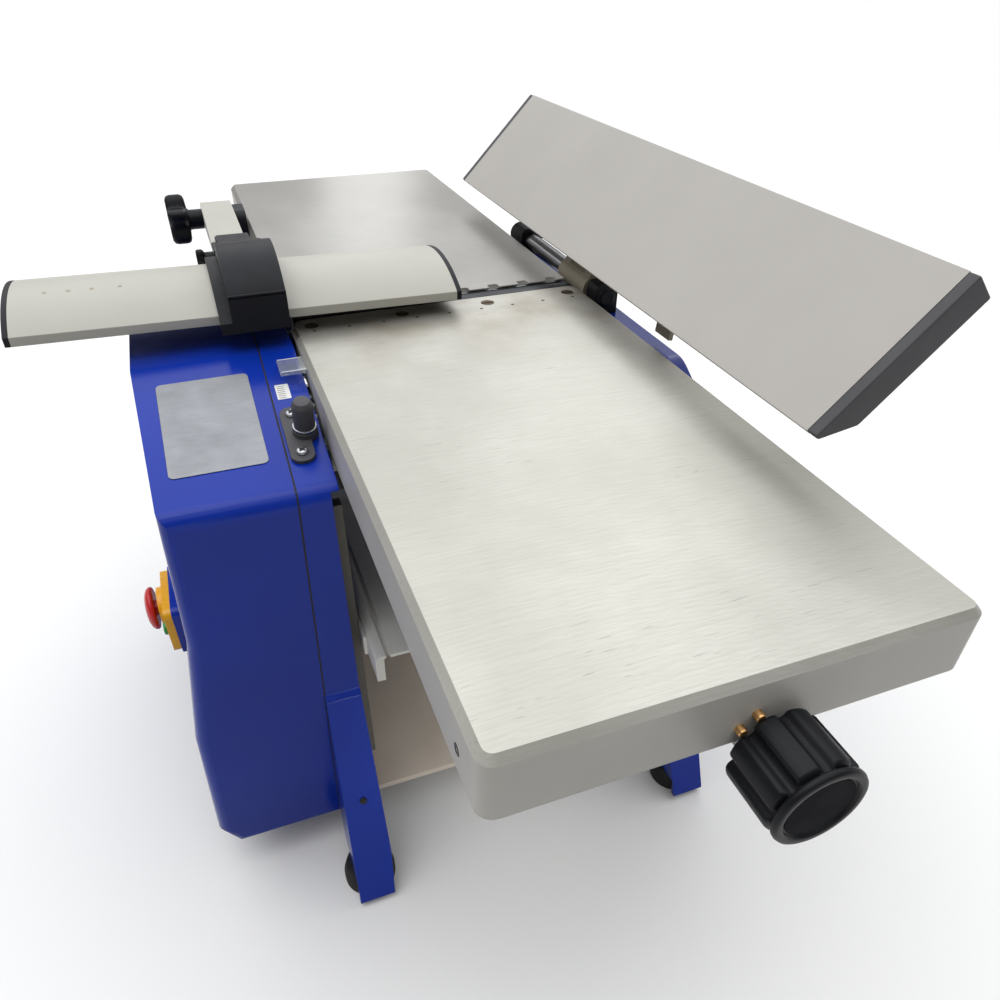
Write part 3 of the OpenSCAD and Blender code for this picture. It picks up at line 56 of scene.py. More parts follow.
AHEAD = Vector((0, -1, 0))
BACK = Vector((0, 1, 0))
UP = Vector((0, 0, 1))
scene = bpy.context.scene


# Colours and nodes

# Sockets of the Mix node, which only their numbers tell apart
FACTOR = 0
VALUE_A = 2
VALUE_B = 3
VALUE_OUT = 0
COLOUR_A = 6
COLOUR_B = 7
COLOUR_OUT = 2


def rgb(hex_text):
    """An sRGB hex colour as the linear colour that Blender's sockets take."""
    parts = [int(hex_text[i:i + 2], 16) / 255 for i in (1, 3, 5)]
    return tuple(c / 12.92 if c <= 0.04045 else ((c + 0.055) / 1.055) ** 2.4 for c in parts) + (1.0,)


def add(tree, kind, sockets=None, **settings):
    """Adds a node with its settings. A socket takes a value, or a (node, output) pair to link to it."""
    node = tree.nodes.new(kind)
    for key, value in settings.items():
        setattr(node, key, value)
    for key, value in (sockets or {}).items():
        if isinstance(value, tuple) and isinstance(value[0], bpy.types.Node):
            source, output = value
            tree.links.new(source.outputs[output], node.inputs[key])
        else:
            node.inputs[key].default_value = value
    return node


def grains(size_mm):
    """The scale of a noise whose grains are about size_mm across."""
    return 1 / (size_mm * MM)


def blank(name, colour):
    """A new material with an empty node tree, and the object coordinates that its patterns follow."""
    material = bpy.data.materials.new(name)
    material.use_nodes = True
    material.diffuse_color = rgb(colour)
    tree = material.node_tree
    tree.nodes.clear()
    return material, tree, (add(tree, "ShaderNodeTexCoord"), "Object")


def surfaced(tree, sockets):
    """Ends a material with its shader, fed through the given sockets, and its output."""
    shader = add(tree, "ShaderNodeBsdfPrincipled", sockets)
    add(tree, "ShaderNodeOutputMaterial", {"Surface": (shader, "BSDF")})


def paint(name, colour, dark, rough, coat, peel_mm=2.5, peel_depth_mm=0.02):
    """Sprayed paint: a slow shift of tone, fine dust in the gloss and faint orange peel."""
    material, tree, spot = blank(name, colour)
    cloud = add(tree, "ShaderNodeTexNoise", {"Vector": spot, "Scale": grains(90), "Detail": 3})
    shift = add(tree, "ShaderNodeMapRange",
        {"Value": (cloud, "Fac"), "From Min": 0.3, "From Max": 0.7, "To Min": 0.25})
    tone = add(tree, "ShaderNodeMix",
        {FACTOR: (shift, "Result"), COLOUR_A: rgb(dark), COLOUR_B: rgb(colour)}, data_type="RGBA")
    dust = add(tree, "ShaderNodeTexNoise", {"Vector": spot, "Scale": grains(6), "Detail": 4})
    gloss = add(tree, "ShaderNodeMapRange",
        {"Value": (dust, "Fac"), "To Min": rough * 0.85, "To Max": rough * 1.2})
    peel = add(tree, "ShaderNodeTexNoise", {"Vector": spot, "Scale": grains(peel_mm), "Detail": 1})
    relief = add(tree, "ShaderNodeBump",
        {"Height": (peel, "Fac"), "Strength": 0.5, "Distance": peel_depth_mm * MM})
    surfaced(tree, {
        "Base Color": (tone, COLOUR_OUT), "Roughness": (gloss, "Result"), "Normal": (relief, "Normal"),
        "Coat Weight": coat, "Coat Roughness": 0.2, "Specular IOR Level": 0.18})
    return material


def plastic(name, colour, light, rough, grain_mm=0.8, depth_mm=0.03, gloss=0.4):
    """Moulded plastic: fine spark-eroded grain and lighter rubbed patches."""
    material, tree, spot = blank(name, colour)
    cloud = add(tree, "ShaderNodeTexNoise", {"Vector": spot, "Scale": grains(25), "Detail": 4})
    rubbed = add(tree, "ShaderNodeMapRange",
        {"Value": (cloud, "Fac"), "From Min": 0.45, "From Max": 0.75, "To Max": 0.5})
    tone = add(tree, "ShaderNodeMix",
        {FACTOR: (rubbed, "Result"), COLOUR_A: rgb(colour), COLOUR_B: rgb(light)}, data_type="RGBA")
    smear = add(tree, "ShaderNodeTexNoise", {"Vector": spot, "Scale": grains(12), "Detail": 3})
    sheen = add(tree, "ShaderNodeMapRange",
        {"Value": (smear, "Fac"), "To Min": rough * 0.85, "To Max": rough * 1.15})
    grain = add(tree, "ShaderNodeTexNoise", {"Vector": spot, "Scale": grains(grain_mm), "Detail": 2})
    relief = add(tree, "ShaderNodeBump",
        {"Height": (grain, "Fac"), "Strength": 0.6, "Distance": depth_mm * MM})
    surfaced(tree, {
        "Base Color": (tone, COLOUR_OUT), "Roughness": (sheen, "Result"), "Normal": (relief, "Normal"),
        "Specular IOR Level": gloss})
    return material


def metal(name, colour, dark, rough, stretch=(1, 1, 1), line_mm=0.5):
    """Machined metal: fine tool lines along one axis and a slow stain."""
    material, tree, spot = blank(name, colour)
    along = add(tree, "ShaderNodeMapping", {"Vector": spot, "Scale": stretch})
    lines = add(tree, "ShaderNodeTexNoise",
        {"Vector": (along, "Vector"), "Scale": grains(line_mm), "Detail": 3, "Roughness": 0.6})
    cut = add(tree, "ShaderNodeMapRange",
        {"Value": (lines, "Fac"), "From Min": 0.25, "From Max": 0.6, "To Min": 0.2})
    tone = add(tree, "ShaderNodeMix",
        {FACTOR: (cut, "Result"), COLOUR_A: rgb(dark), COLOUR_B: rgb(colour)}, data_type="RGBA")
    mottle = add(tree, "ShaderNodeTexNoise", {"Vector": spot, "Scale": grains(20), "Detail": 4})
    sheen = add(tree, "ShaderNodeMapRange",
        {"Value": (mottle, "Fac"), "To Min": rough * 0.75, "To Max": rough * 1.35})
    relief = add(tree, "ShaderNodeBump", {"Height": (lines, "Fac"), "Strength": 0.5, "Distance": 0.01 * MM})
    surfaced(tree, {
        "Base Color": (tone, COLOUR_OUT), "Roughness": (sheen, "Result"), "Normal": (relief, "Normal"),
        "Metallic": 1})
    return material


def acrylic():
    """Clear cast acrylic of the depth pointer: glassy, with a faint scuff that dulls it in patches."""
    material, tree, spot = blank("clear_acrylic", "#eef3f4")
    scuff = add(tree, "ShaderNodeTexNoise", {"Vector": spot, "Scale": grains(3), "Detail": 4})
    sheen = add(tree, "ShaderNodeMapRange", {"Value": (scuff, "Fac"), "To Min": 0.04, "To Max": 0.2})
    surfaced(tree, {
        "Base Color": rgb("#eef3f4"), "Roughness": (sheen, "Result"),
        "Transmission Weight": 0.9, "IOR": 1.49})
    return material


# Pitch of the face mill's arcs, drawn coarser than real ones so that they show
MILL_PITCH = 3.307
# The wave node turns this many radians for each unit of its scale
WAVE_TURN = 20
MILL_SCALE = math.tau / (WAVE_TURN * MILL_PITCH * MM)
# The brownish mottle on the infeed table darkens between these places, towards the lip
MOTTLE_FROM = -160
MOTTLE_TO = -30
PAINTED_SIDES = ("#a3a19b", "#aba9a3")
SIDE_ROUGHNESS = 0.42


def table_metal(name, bright, dull, rough, stretch, mill=None, mottle=0, sides=PAINTED_SIDES, bare=0.8):
    """A planer table: a ground and worn top, and painted sides below its bevel.

    mill is the middle of the face mill's arcs in mm, and bare is how much of the top's look is bare metal."""
    material, tree, spot = blank(name, bright)
    normal = add(tree, "ShaderNodeNewGeometry")
    facing = add(tree, "ShaderNodeSeparateXYZ", {"Vector": (normal, "Normal")})
    top = add(tree, "ShaderNodeMapRange", {"Value": (facing, "Z"), "From Min": 0.55, "From Max": 0.75})

    # Grinding lines give the base tone, and each layer lays a colour over it by a mask
    along = add(tree, "ShaderNodeMapping", {"Vector": spot, "Scale": stretch})
    lines = add(tree, "ShaderNodeTexNoise",
        {"Vector": (along, "Vector"), "Scale": grains(0.7), "Detail": 3, "Roughness": 0.65})
    cut = add(tree, "ShaderNodeMapRange",
        {"Value": (lines, "Fac"), "From Min": 0.25, "From Max": 0.6, "To Min": 0.55})
    tone = add(tree, "ShaderNodeMix",
        {FACTOR: (cut, "Result"), COLOUR_A: rgb(dull), COLOUR_B: rgb(bright)}, data_type="RGBA")
    relief = {"Height": (lines, "Fac"), "Strength": 0.35, "Distance": 0.006 * MM}

    # Broad clouds where the top is handled less
    wide = add(tree, "ShaderNodeMapping", {"Vector": spot, "Scale": (1, 0.7, 1)})
    cloud = add(tree, "ShaderNodeTexNoise",
        {"Vector": (wide, "Vector"), "Scale": grains(130), "Detail": 4, "Roughness": 0.55})
    dim = add(tree, "ShaderNodeMapRange",
        {"Value": (cloud, "Fac"), "From Min": 0.4, "From Max": 0.62, "To Min": 0.45, "To Max": 0})
    layers = [(dull, (dim, "Result"))]

    if mill:
        centred = add(tree, "ShaderNodeMapping", {"Vector": spot, "Location": [-v * MM for v in mill]})
        arcs = add(tree, "ShaderNodeTexWave",
            {"Vector": (centred, "Vector"), "Scale": MILL_SCALE, "Distortion": 7, "Detail": 3},
            wave_type="RINGS", rings_direction="Z")
        faint = add(tree, "ShaderNodeMapRange", {"Value": (arcs, "Fac"), "From Min": 0.5, "To Max": 0.12})
        layers.append((dull, (faint, "Result")))
        ridges = add(tree, "ShaderNodeBump",
            {"Height": (arcs, "Fac"), "Strength": 0.4, "Distance": 0.002 * MM})
        relief["Normal"] = (ridges, "Normal")

    # Darker brownish mottle that grows towards the lip
    if mottle:
        split = add(tree, "ShaderNodeSeparateXYZ", {"Vector": spot})
        near = add(tree, "ShaderNodeMapRange",
            {"Value": (split, "Y"), "From Min": MOTTLE_FROM * MM, "From Max": MOTTLE_TO * MM, "To Max": mottle})
        blot = add(tree, "ShaderNodeTexNoise", {"Vector": spot, "Scale": grains(45), "Detail": 5})
        patch = add(tree, "ShaderNodeMapRange", {"Value": (blot, "Fac"), "From Min": 0.4, "From Max": 0.7})
        lip_mottle = add(tree, "ShaderNodeMath",
            {0: (near, "Result"), 1: (patch, "Result")}, operation="MULTIPLY")
        layers.append(("#8d8474", (lip_mottle, "Value")))

    # Long scratches, and short streaks that gather in places
    slant = add(tree, "ShaderNodeMapping",
        {"Vector": spot, "Scale": (0.02, 1, 1), "Rotation": (0, 0, 0.5)})
    scratch = add(tree, "ShaderNodeTexNoise",
        {"Vector": (slant, "Vector"), "Scale": grains(2.2), "Detail": 2, "Roughness": 0.4})
    thin = add(tree, "ShaderNodeMapRange",
        {"Value": (scratch, "Fac"), "From Min": 0.74, "From Max": 0.8, "To Max": 0.35})
    layers.append(("#77736a", (thin, "Result")))
    counter = add(tree, "ShaderNodeMapping",
        {"Vector": spot, "Scale": (0.08, 1, 1), "Rotation": (0, 0, -0.45)})
    streak = add(tree, "ShaderNodeTexNoise",
        {"Vector": (counter, "Vector"), "Scale": grains(1.3), "Detail": 1, "Roughness": 0.4})
    short = add(tree, "ShaderNodeMapRange",
        {"Value": (streak, "Fac"), "From Min": 0.7, "From Max": 0.76, "To Max": 0.5})
    field = add(tree, "ShaderNodeTexNoise", {"Vector": spot, "Scale": grains(70), "Detail": 2})
    sparse = add(tree, "ShaderNodeMapRange", {"Value": (field, "Fac"), "From Min": 0.52, "From Max": 0.62})
    marks = add(tree, "ShaderNodeMath", {0: (short, "Result"), 1: (sparse, "Result")}, operation="MULTIPLY")
    layers.append(("#6f6c66", (marks, "Value")))
    for shade, mask in layers:
        tone = add(tree, "ShaderNodeMix",
            {FACTOR: mask, COLOUR_A: (tone, COLOUR_OUT), COLOUR_B: rgb(shade)}, data_type="RGBA")

    # Painted sides, and what the top and the sides give the shader
    drift = add(tree, "ShaderNodeTexNoise", {"Vector": spot, "Scale": grains(60), "Detail": 3})
    shift = add(tree, "ShaderNodeMapRange", {"Value": (drift, "Fac"), "From Min": 0.3, "From Max": 0.7})
    side = add(tree, "ShaderNodeMix",
        {FACTOR: (shift, "Result"), COLOUR_A: rgb(sides[0]), COLOUR_B: rgb(sides[1])}, data_type="RGBA")
    skin = add(tree, "ShaderNodeMix",
        {FACTOR: (top, "Result"), COLOUR_A: (side, COLOUR_OUT), COLOUR_B: (tone, COLOUR_OUT)},
        data_type="RGBA")
    clouded = add(tree, "ShaderNodeMath", {0: (cloud, "Fac"), 1: 0.16, 2: rough}, operation="MULTIPLY_ADD")
    lined = add(tree, "ShaderNodeMath", {0: (lines, "Fac"), 1: 0.08, 2: (clouded, "Value")},
        operation="MULTIPLY_ADD")
    sheen = add(tree, "ShaderNodeMix",
        {FACTOR: (top, "Result"), VALUE_A: SIDE_ROUGHNESS, VALUE_B: (lined, "Value")}, data_type="FLOAT")
    share = add(tree, "ShaderNodeMath", {0: (top, "Result"), 1: bare}, operation="MULTIPLY")
    ground = add(tree, "ShaderNodeBump", relief)
    surfaced(tree, {
        "Base Color": (skin, COLOUR_OUT), "Roughness": (sheen, VALUE_OUT), "Metallic": (share, "Value"),
        "Normal": (ground, "Normal")})
    return material


# Blue gloss enamel, sprayed on the side castings: deep and even, with soft highlights
BLUE = paint("blue_gloss_paint", "#0b2e97", "#0a2989", 0.2, 0.06)
# The same blue moulded in gloss plastic for the drive cover: a wider and softer ripple in the highlights
BLUE_COVER = paint("blue_gloss_cover", "#0b2d95", "#0a2887", 0.18, 0.06, 3.5, 0.03)
# Off-white satin paint on the guard and its arm: pale, with a broad dull sheen
WHITE = paint("off_white_paint", "#abaaa1", "#a5a49b", 0.42, 0.05, 1.2, 0.02)
# Warm grey satin paint on the fence extrusion: flat, almost without highlights
FENCE = paint("warm_grey_paint", "#a9a6a0", "#a3a09a", 0.45, 0.04, 1.0, 0.02)
# Taupe paint on the fence's cast arm: a dull brown grey
TAUPE = paint("taupe_paint", "#99917f", "#8a8272", 0.5, 0.05, 1.5, 0.03)
# Taupe paint drawn paler on the base tray, as painted light that lifts it out of the shade under the machine:
# chalky and light
TRAY_PAINTED_LIGHT = paint("pale_taupe_paint", "#cdc2b2", "#bdb2a3", 0.5, 0.05, 1.5, 0.03)
# Dark taupe paint on the bed's guide rails, darkened as painted shade that blends them into the shaded inside
# of the casting: dull and recessive
GUIDE_PAINTED_SHADE = paint("dark_taupe_paint", "#67635b", "#5c5851", 0.5, 0.04, 1.5, 0.03)
# Black paint on the motor: a soft sheen over a smooth shell
MOTOR = paint("black_motor_paint", "#15161a", "#0e0f12", 0.4, 0.1)
# Satin black moulded plastic of the holder, brackets and grips: dark, with a fine grain
BLACK = plastic("black_moulded_plastic", "#16171b", "#1f2126", 0.45, gloss=0.16)
# Duller black moulded plastic of the hand knobs: lobes that read by their edges only
KNOB = plastic("matt_black_plastic", "#101114", "#191a1e", 0.4, gloss=0.16)
# Satin grey moulded plastic of the fence's end caps and the lock: a paler, greyer black
CAP = plastic("satin_grey_plastic", "#404043", "#4a4a4d", 0.5, gloss=0.3)
# Dead matt plastic of the insert in the depth knob's face: a flat dark disc without a glint
INSERT = plastic("matt_insert_plastic", "#111216", "#18191d", 0.7, gloss=0.05)
# Black moulded rubber of the feet and belts, also drawn as the painted shade of the cover seam: dull, with a
# coarse skin
RUBBER_AND_SEAM_SHADE = plastic("black_rubber", "#0e0e0e", "#181818", 0.7, 1.6, 0.06)
# Gloss moulded plastics of the switch: clean signal colours with a small sharp highlight
YELLOW = plastic("yellow_gloss_plastic", "#e0a00c", "#e6ad24", 0.28, 1.5, 0.01)
RED = plastic("red_gloss_plastic", "#b51d22", "#c23431", 0.25, 1.5, 0.01)
GREEN = plastic("green_gloss_plastic", "#1f7f38", "#36934c", 0.28, 1.5, 0.01)
# White vinyl of the plain scale tag, also drawn as the painted highlight on the pointer's lit edges, and the
# matt ink of the tag's ticks
VINYL_AND_EDGE_HIGHLIGHT = plastic("white_vinyl", "#cfcfcb", "#d8d8d4", 0.5, 3, 0.005)
INK = plastic("black_ink", "#1a1a1c", "#242426", 0.6, 3, 0.002)
# Painted shade in recesses and pits: a warm dull black
PIT_SHADE = plastic("dark_pit", "#2b2722", "#3a332b", 0.7, 0.6, 0.02)
# Bare turned steel: mid grey, with fine tool lines across the machine
STEEL = metal("turned_steel", "#a9abad", "#7f8284", 0.32, (0.05, 1, 1))
# Blackened steel of the cutter block, its gibs, the tie bars and small bolts: dark, with a thin sheen
DARK_STEEL = metal("blackened_steel", "#3a3b3e", "#26272a", 0.4, (1, 1, 0.05))
# Stained steel heads of the lip's countersunk screws: a dull brown metal
STAINED = metal("stained_screw_steel", "#5b4d3e", "#43382c", 0.42)
# Ground knife steel: bright lines along the edge
KNIFE = metal("ground_knife_steel", "#c6c8ca", "#a4a7aa", 0.2, (0.05, 1, 1))
# Ground steel of the fence's pivot shaft: a clear reflection, drawn out along the shaft
CHROME = metal("ground_shaft_steel", "#9fa1a4", "#7d7f83", 0.22, (1, 0.05, 1))
# Die-cast alloy of pulleys, gearbox and pedestal: pale grey and slightly mottled
ALLOY = metal("die_cast_alloy", "#b4b6b7", "#8f9294", 0.45, (1, 1, 1), 1.5)
# Rolled aluminium of the bare plate on the cover: a soft sheen with lines across it
PLATE = metal("rolled_aluminium_plate", "#8f9194", "#7f8184", 0.58, (0.03, 1, 1), 0.4)
# Turned bronze of the bushes and the lifting gear: a warm metal with fine upright lines
BRONZE = metal("turned_bronze", "#a97f45", "#80602f", 0.3, (1, 1, 0.05))
# Yellow passivated zinc of the screw ends behind the knob: a pale brassy sheen
ZINC = metal("yellow_zinc_screw", "#c9a06a", "#96744a", 0.36, (1, 0.1, 1))
ACRYLIC = acrylic()
# Infeed table of milled cast iron: arcs of a face mill, and darker brownish mottle near its lip
INFEED = table_metal("milled_table_top", "#b9b8b0", "#96948b", 0.33, (0.03, 1, 1), (-100, -900, 0), 0.7)
# Outfeed table of ground cast iron: finer lines across the feed and a clearer sheen
OUTFEED = table_metal("ground_table_top", "#a4a39e", "#827f79", 0.2, (0.02, 1, 1))
# Thicknessing bed of ground cast iron: pale, with lines along the feed
# The bed's sides take the tables' side paint drawn paler, as painted light that lifts them out of the shade
# under the tables
BED_SIDES_PAINTED_LIGHT = ("#c4c3bd", "#cbcac4")
BED = table_metal("ground_bed_top", "#c6c6c1", "#a9a8a3", 0.3, (1, 0.03, 1), sides=BED_SIDES_PAINTED_LIGHT, bare=0.1)

# The material of each slot, and of the nodes that have one of their own
MATERIAL = {
    "blue_paint": BLUE, "blue_plastic": BLUE_COVER, "fence_metal": FENCE, "guard_metal": WHITE,
    "bare_steel": STEEL, "chrome_shaft": CHROME, "cast_metal": ALLOY, "taupe_metal": TAUPE,
    "black_plastic": BLACK, "black_metal": MOTOR, "rubber": RUBBER_AND_SEAM_SHADE, "bronze": BRONZE,
    "clear_plastic": ACRYLIC, "yellow_plastic": YELLOW, "red_plastic": RED, "green_plastic": GREEN,
    "table_metal": BED}
OWN = {
    "infeed_table": INFEED, "infeed_lip": INFEED, "outfeed_table": OUTFEED, "base_tray": TRAY_PAINTED_LIGHT,
    "planer_knives": KNIFE, "lip_screws": STAINED, "bed_guides": GUIDE_PAINTED_SHADE, "tie_bars": DARK_STEEL,
    "cutter_block": DARK_STEEL, "gib_bars": DARK_STEEL, "guide_pins": DARK_STEEL, "outfeed_bolts": DARK_STEEL,
    "depth_knob": KNOB, "arm_star_knob": KNOB, "guard_wing_knob": KNOB,
    "fence_end_caps": CAP, "lock_bracket": CAP, "lock_pin": CAP}


# Places in the frame, in mm

def box_mm(node):
    """Lowest and highest corners of a CAD node."""
    return tuple(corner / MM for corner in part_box(node))


def middle(node):
    """Middle of a node's box."""
    low, high = box_mm(node)
    return (low + high) / 2


def span(node):
    """Sizes of a node's box along its three axes."""
    low, high = box_mm(node)
    return high - low


def face(node, axis, side):
    """Middle of a face of a node's box: axis 0 to 2, side 0 for the low face and 1 for the high one."""
    spot = middle(node)
    spot[axis] = box_mm(node)[side][axis]
    return spot


# Pieces and their meshes

def put(name, mesh, body, material):
    """A visible piece that rides a body."""
    obj = bpy.data.objects.new(name, mesh)
    scene.collection.objects.link(obj)
    mesh.materials.clear()
    mesh.materials.append(material)
    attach(obj, body)
    return obj


def finished(mesh, kind, inputs=None, **settings):
    """The mesh after one modifier, as a new plain mesh. inputs are those of a node group, by identifier."""
    work = bpy.data.objects.new("work", mesh)
    scene.collection.objects.link(work)
    mod = work.modifiers.new("work", kind)
    for key, value in settings.items():
        setattr(mod, key, value)
    for identifier, value in (inputs or {}).items():
        mod[identifier] = value
    bpy.context.view_layer.update()
    done = bpy.data.meshes.new_from_object(work.evaluated_get(bpy.context.evaluated_depsgraph_get()))
    done.name = mesh.name
    work.modifiers.remove(mod)
    bpy.data.objects.remove(work)
    return done


# An edge that bends more than the first angle is rounded, and one that bends more than the second stays sharp
HARD_ANGLE = math.radians(32)
SHARP_ANGLE = math.radians(50)


def shaded(mesh):
    """The mesh shaded smooth, with normals that follow the larger faces, so flat faces stay flat."""
    mesh.shade_smooth()
    mesh.set_sharp_from_angle(angle=SHARP_ANGLE)
    return finished(mesh, "WEIGHTED_NORMAL", keep_sharp=True)


def edge_rounded(mesh, width_mm):
    """The mesh with its hard edges rounded, as a new mesh."""
    return finished(mesh, "BEVEL", width=width_mm * MM, segments=2, limit_method="ANGLE",
        angle_limit=HARD_ANGLE, use_clamp_overlap=True, miter_outer="MITER_ARC")


def skin_area(mesh):
    """Area of a mesh's triangles."""
    mesh.calc_loop_triangles()
    return sum(t.area for t in mesh.loop_triangles)


def made(bm, name):
    """A mesh out of a bmesh, which is freed."""
    mesh = bpy.data.meshes.new(name)
    bm.to_mesh(mesh)
    bm.free()
    return mesh


def from_rings(rings):
    """A skin over rings of equal length, each a list of points, with flat ends."""
    bm = bmesh.new()
    rows = [[bm.verts.new(p) for p in ring] for ring in rings]
    n = len(rings[0])
    for a, b in zip(rows, rows[1:]):
        for i in range(n):
            bm.faces.new((a[i], a[(i + 1) % n], b[(i + 1) % n], b[i]))
    bm.faces.new(list(reversed(rows[0])))
    bm.faces.new(rows[-1])
    bmesh.ops.recalc_face_normals(bm, faces=bm.faces)
    return made(bm, "rings")


def turned(levels, sides, spot, axis, radius=1, length=1, wave=None):
    """A turned piece along an axis from a spot in mm.

    Each level holds shares of the radius and of the length and, for a lobed piece, of the wave round it.
    Where no radius and length are given, the levels are in mm themselves."""
    z = Vector(axis).normalized()
    x = z.orthogonal().normalized() if abs(z.x) > 0.9 else RIGHT.cross(z).normalized()
    y = z.cross(x)
    rings = []
    for level in levels:
        ring = []
        for i in range(sides):
            t = math.tau * i / sides
            r = level[0] * radius
            if wave:
                r = wave(t, r, level[2])
            ring.append((spot + z * level[1] * length + (x * math.cos(t) + y * math.sin(t)) * r) * MM)
        rings.append(ring)
    return from_rings(rings)


def block(low, high):
    """A box mesh between two corners in mm."""
    bm = bmesh.new()
    bmesh.ops.create_cube(bm, size=1)
    size = Vector(high) - Vector(low)
    centre = (Vector(high) + Vector(low)) / 2
    for vert in bm.verts:
        vert.co = (vert.co * size + centre) * MM
    return made(bm, "block")


def round_box(width, length, corner, steps=6):
    """Outline of a rectangle with rounded corners, about its middle."""
    x = width / 2 - corner
    y = length / 2 - corner
    points = []
    for cx, cy, start in ((x, y, 0), (-x, y, 90), (-x, -y, 180), (x, -y, 270)):
        for i in range(steps + 1):
            t = math.radians(start + 90 * i / steps)
            points.append((cx + corner * math.cos(t), cy + corner * math.sin(t)))
    return points


def slab(outline, low, high, place):
    """A flat piece: an outline in mm, its low and high faces, and a placing matrix in mm."""
    return from_rings([[place @ Vector((x, y, z)) * MM for x, y in outline] for z in (low, high)])


def joined(meshes):
    """Several meshes as one."""
    bm = bmesh.new()
    for mesh in meshes:
        bm.from_mesh(mesh)
    return made(bm, "joined")


def row_group():
    """Node group that repeats a mesh along a line and sets its material."""
    tree = bpy.data.node_groups.new("row_of_pieces", "GeometryNodeTree")
    tree.interface.new_socket("Geometry", in_out="INPUT", socket_type="NodeSocketGeometry")
    tree.interface.new_socket("Count", in_out="INPUT", socket_type="NodeSocketInt")
    tree.interface.new_socket("Step", in_out="INPUT", socket_type="NodeSocketVector")
    tree.interface.new_socket("Material", in_out="INPUT", socket_type="NodeSocketMaterial")
    tree.interface.new_socket("Geometry", in_out="OUTPUT", socket_type="NodeSocketGeometry")
    given = add(tree, "NodeGroupInput")
    line = add(tree, "GeometryNodeMeshLine",
        {"Count": (given, "Count"), "Offset": (given, "Step")}, mode="OFFSET")
    copies = add(tree, "GeometryNodeInstanceOnPoints",
        {"Points": (line, "Mesh"), "Instance": (given, "Geometry")})
    real = add(tree, "GeometryNodeRealizeInstances", {"Geometry": (copies, "Instances")})
    painted = add(tree, "GeometryNodeSetMaterial",
        {"Geometry": (real, "Geometry"), "Material": (given, "Material")})
    add(tree, "NodeGroupOutput", {"Geometry": (painted, "Geometry")})
    return tree


ROW = row_group()
ROW_IDS = {item.name: item.identifier for item in ROW.interface.items_tree if item.in_out == "INPUT"}


def repeated(mesh, count, step_mm, material):
    """The mesh repeated along a line with the node group, as a plain mesh."""
    step = [v * MM for v in step_mm]
    inputs = {ROW_IDS["Count"]: count, ROW_IDS["Step"]: step, ROW_IDS["Material"]: material}
    return finished(mesh, "NODES", inputs, node_group=ROW)


# CAD nodes: a finer piece, or a copy with rounded edges, stands for each

FINE = set()


def stand_for(node, prefix, mesh):
    """A piece that stands for a CAD node."""
    obj = put(prefix + node, shaded(mesh), BODY[node], OWN.get(node) or MATERIAL[SLOT[node]])
    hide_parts(node)


def finer(node, mesh):
    """A finer mesh that stands for a CAD node."""
    stand_for(node, "fine_", mesh)
    FINE.add(node)


# Two points of a CAD mesh that are closer than this, in metres, are one, and faces within this angle are flat
MERGE = 2e-6
FLAT_ANGLE = math.radians(0.6)
# Rounding that folds a face over brings the skin to more than this share of the sound one
FOLD_SHARE = 1.002


def soften(node, width_mm):
    """A copy of a CAD node with its hard edges rounded, which stands for the node."""
    tries = []
    for cut in (False, True):
        bm = bmesh.new()
        bm.from_mesh(NODES[node].data)
        bmesh.ops.remove_doubles(bm, verts=bm.verts, dist=MERGE)
        bmesh.ops.dissolve_limit(bm, angle_limit=FLAT_ANGLE, verts=bm.verts, edges=bm.edges)
        if cut:
            bmesh.ops.triangulate(bm, faces=[f for f in bm.faces if len(f.verts) > 4])
        tries.append(edge_rounded(made(bm, node), width_mm))
    # A flat face with a hole can fold over when it is rounded whole: then the one cut into triangles is kept
    whole, pieces = tries
    folded = skin_area(whole) > FOLD_SHARE * skin_area(pieces)
    stand_for(node, "soft_", pieces if folded else whole)


def smooth_step(low, high, value):
    """0 below low, 1 above high, and a smooth rise between them."""
    t = max(0.0, min(1.0, (value - low) / (high - low)))
    return t * t * (3 - 2 * t)


def lobed(lobes, depth_share):
    """The wave of a knob with round lobes: its radius at an angle round its axis."""
    def wave(angle, radius, share):
        return radius * (1 - depth_share * share * (1 - math.cos(lobes * angle)))
    return wave


SIDES_PER_LOBE = 24

# Depth knob: wide lobes that end at a round rim with a dished face
KNOB_LOBES = 8
KNOB_FLUTE = 3.4
KNOB_FLUTE_START_SHARE = 0.05
KNOB_EASE = 0.35
KNOB_SHARES = (
    (0.936, 0, 1), (0.984, 0.0211, 1), (1, 0.0526, 1), (1, 0.7895, 1), (0.976, 0.8316, 1),
    (0.896, 0.8579, 0.5), (0.864, 0.8684, 0), (0.872, 0.8842, 0), (0.944, 0.8947, 0), (0.98, 0.9158, 0),
    (0.984, 0.9474, 0), (0.96, 0.9842, 0), (0.912, 1, 0), (0.824, 1, 0), (0.792, 0.9842, 0),
    (0.768, 0.9526, 0), (0.68, 0.9474, 0), (0.16, 0.9526, 0))
KNOB_R = span("depth_knob").z / 2
KNOB_L = span("depth_knob").y
KNOB_BACK = face("depth_knob", 1, 1)


def knob_wave(angle, radius, share):
    """Radius of the depth knob round its axis: a flute between each two lobes."""
    wave = math.cos(KNOB_LOBES * angle)
    flute = KNOB_FLUTE * smooth_step(KNOB_FLUTE_START_SHARE, 1, wave)
    return radius - share * (flute + KNOB_EASE * (1 + wave))


finer("depth_knob", turned(KNOB_SHARES, KNOB_LOBES * SIDES_PER_LOBE, KNOB_BACK, AHEAD, KNOB_R, KNOB_L,
    knob_wave))

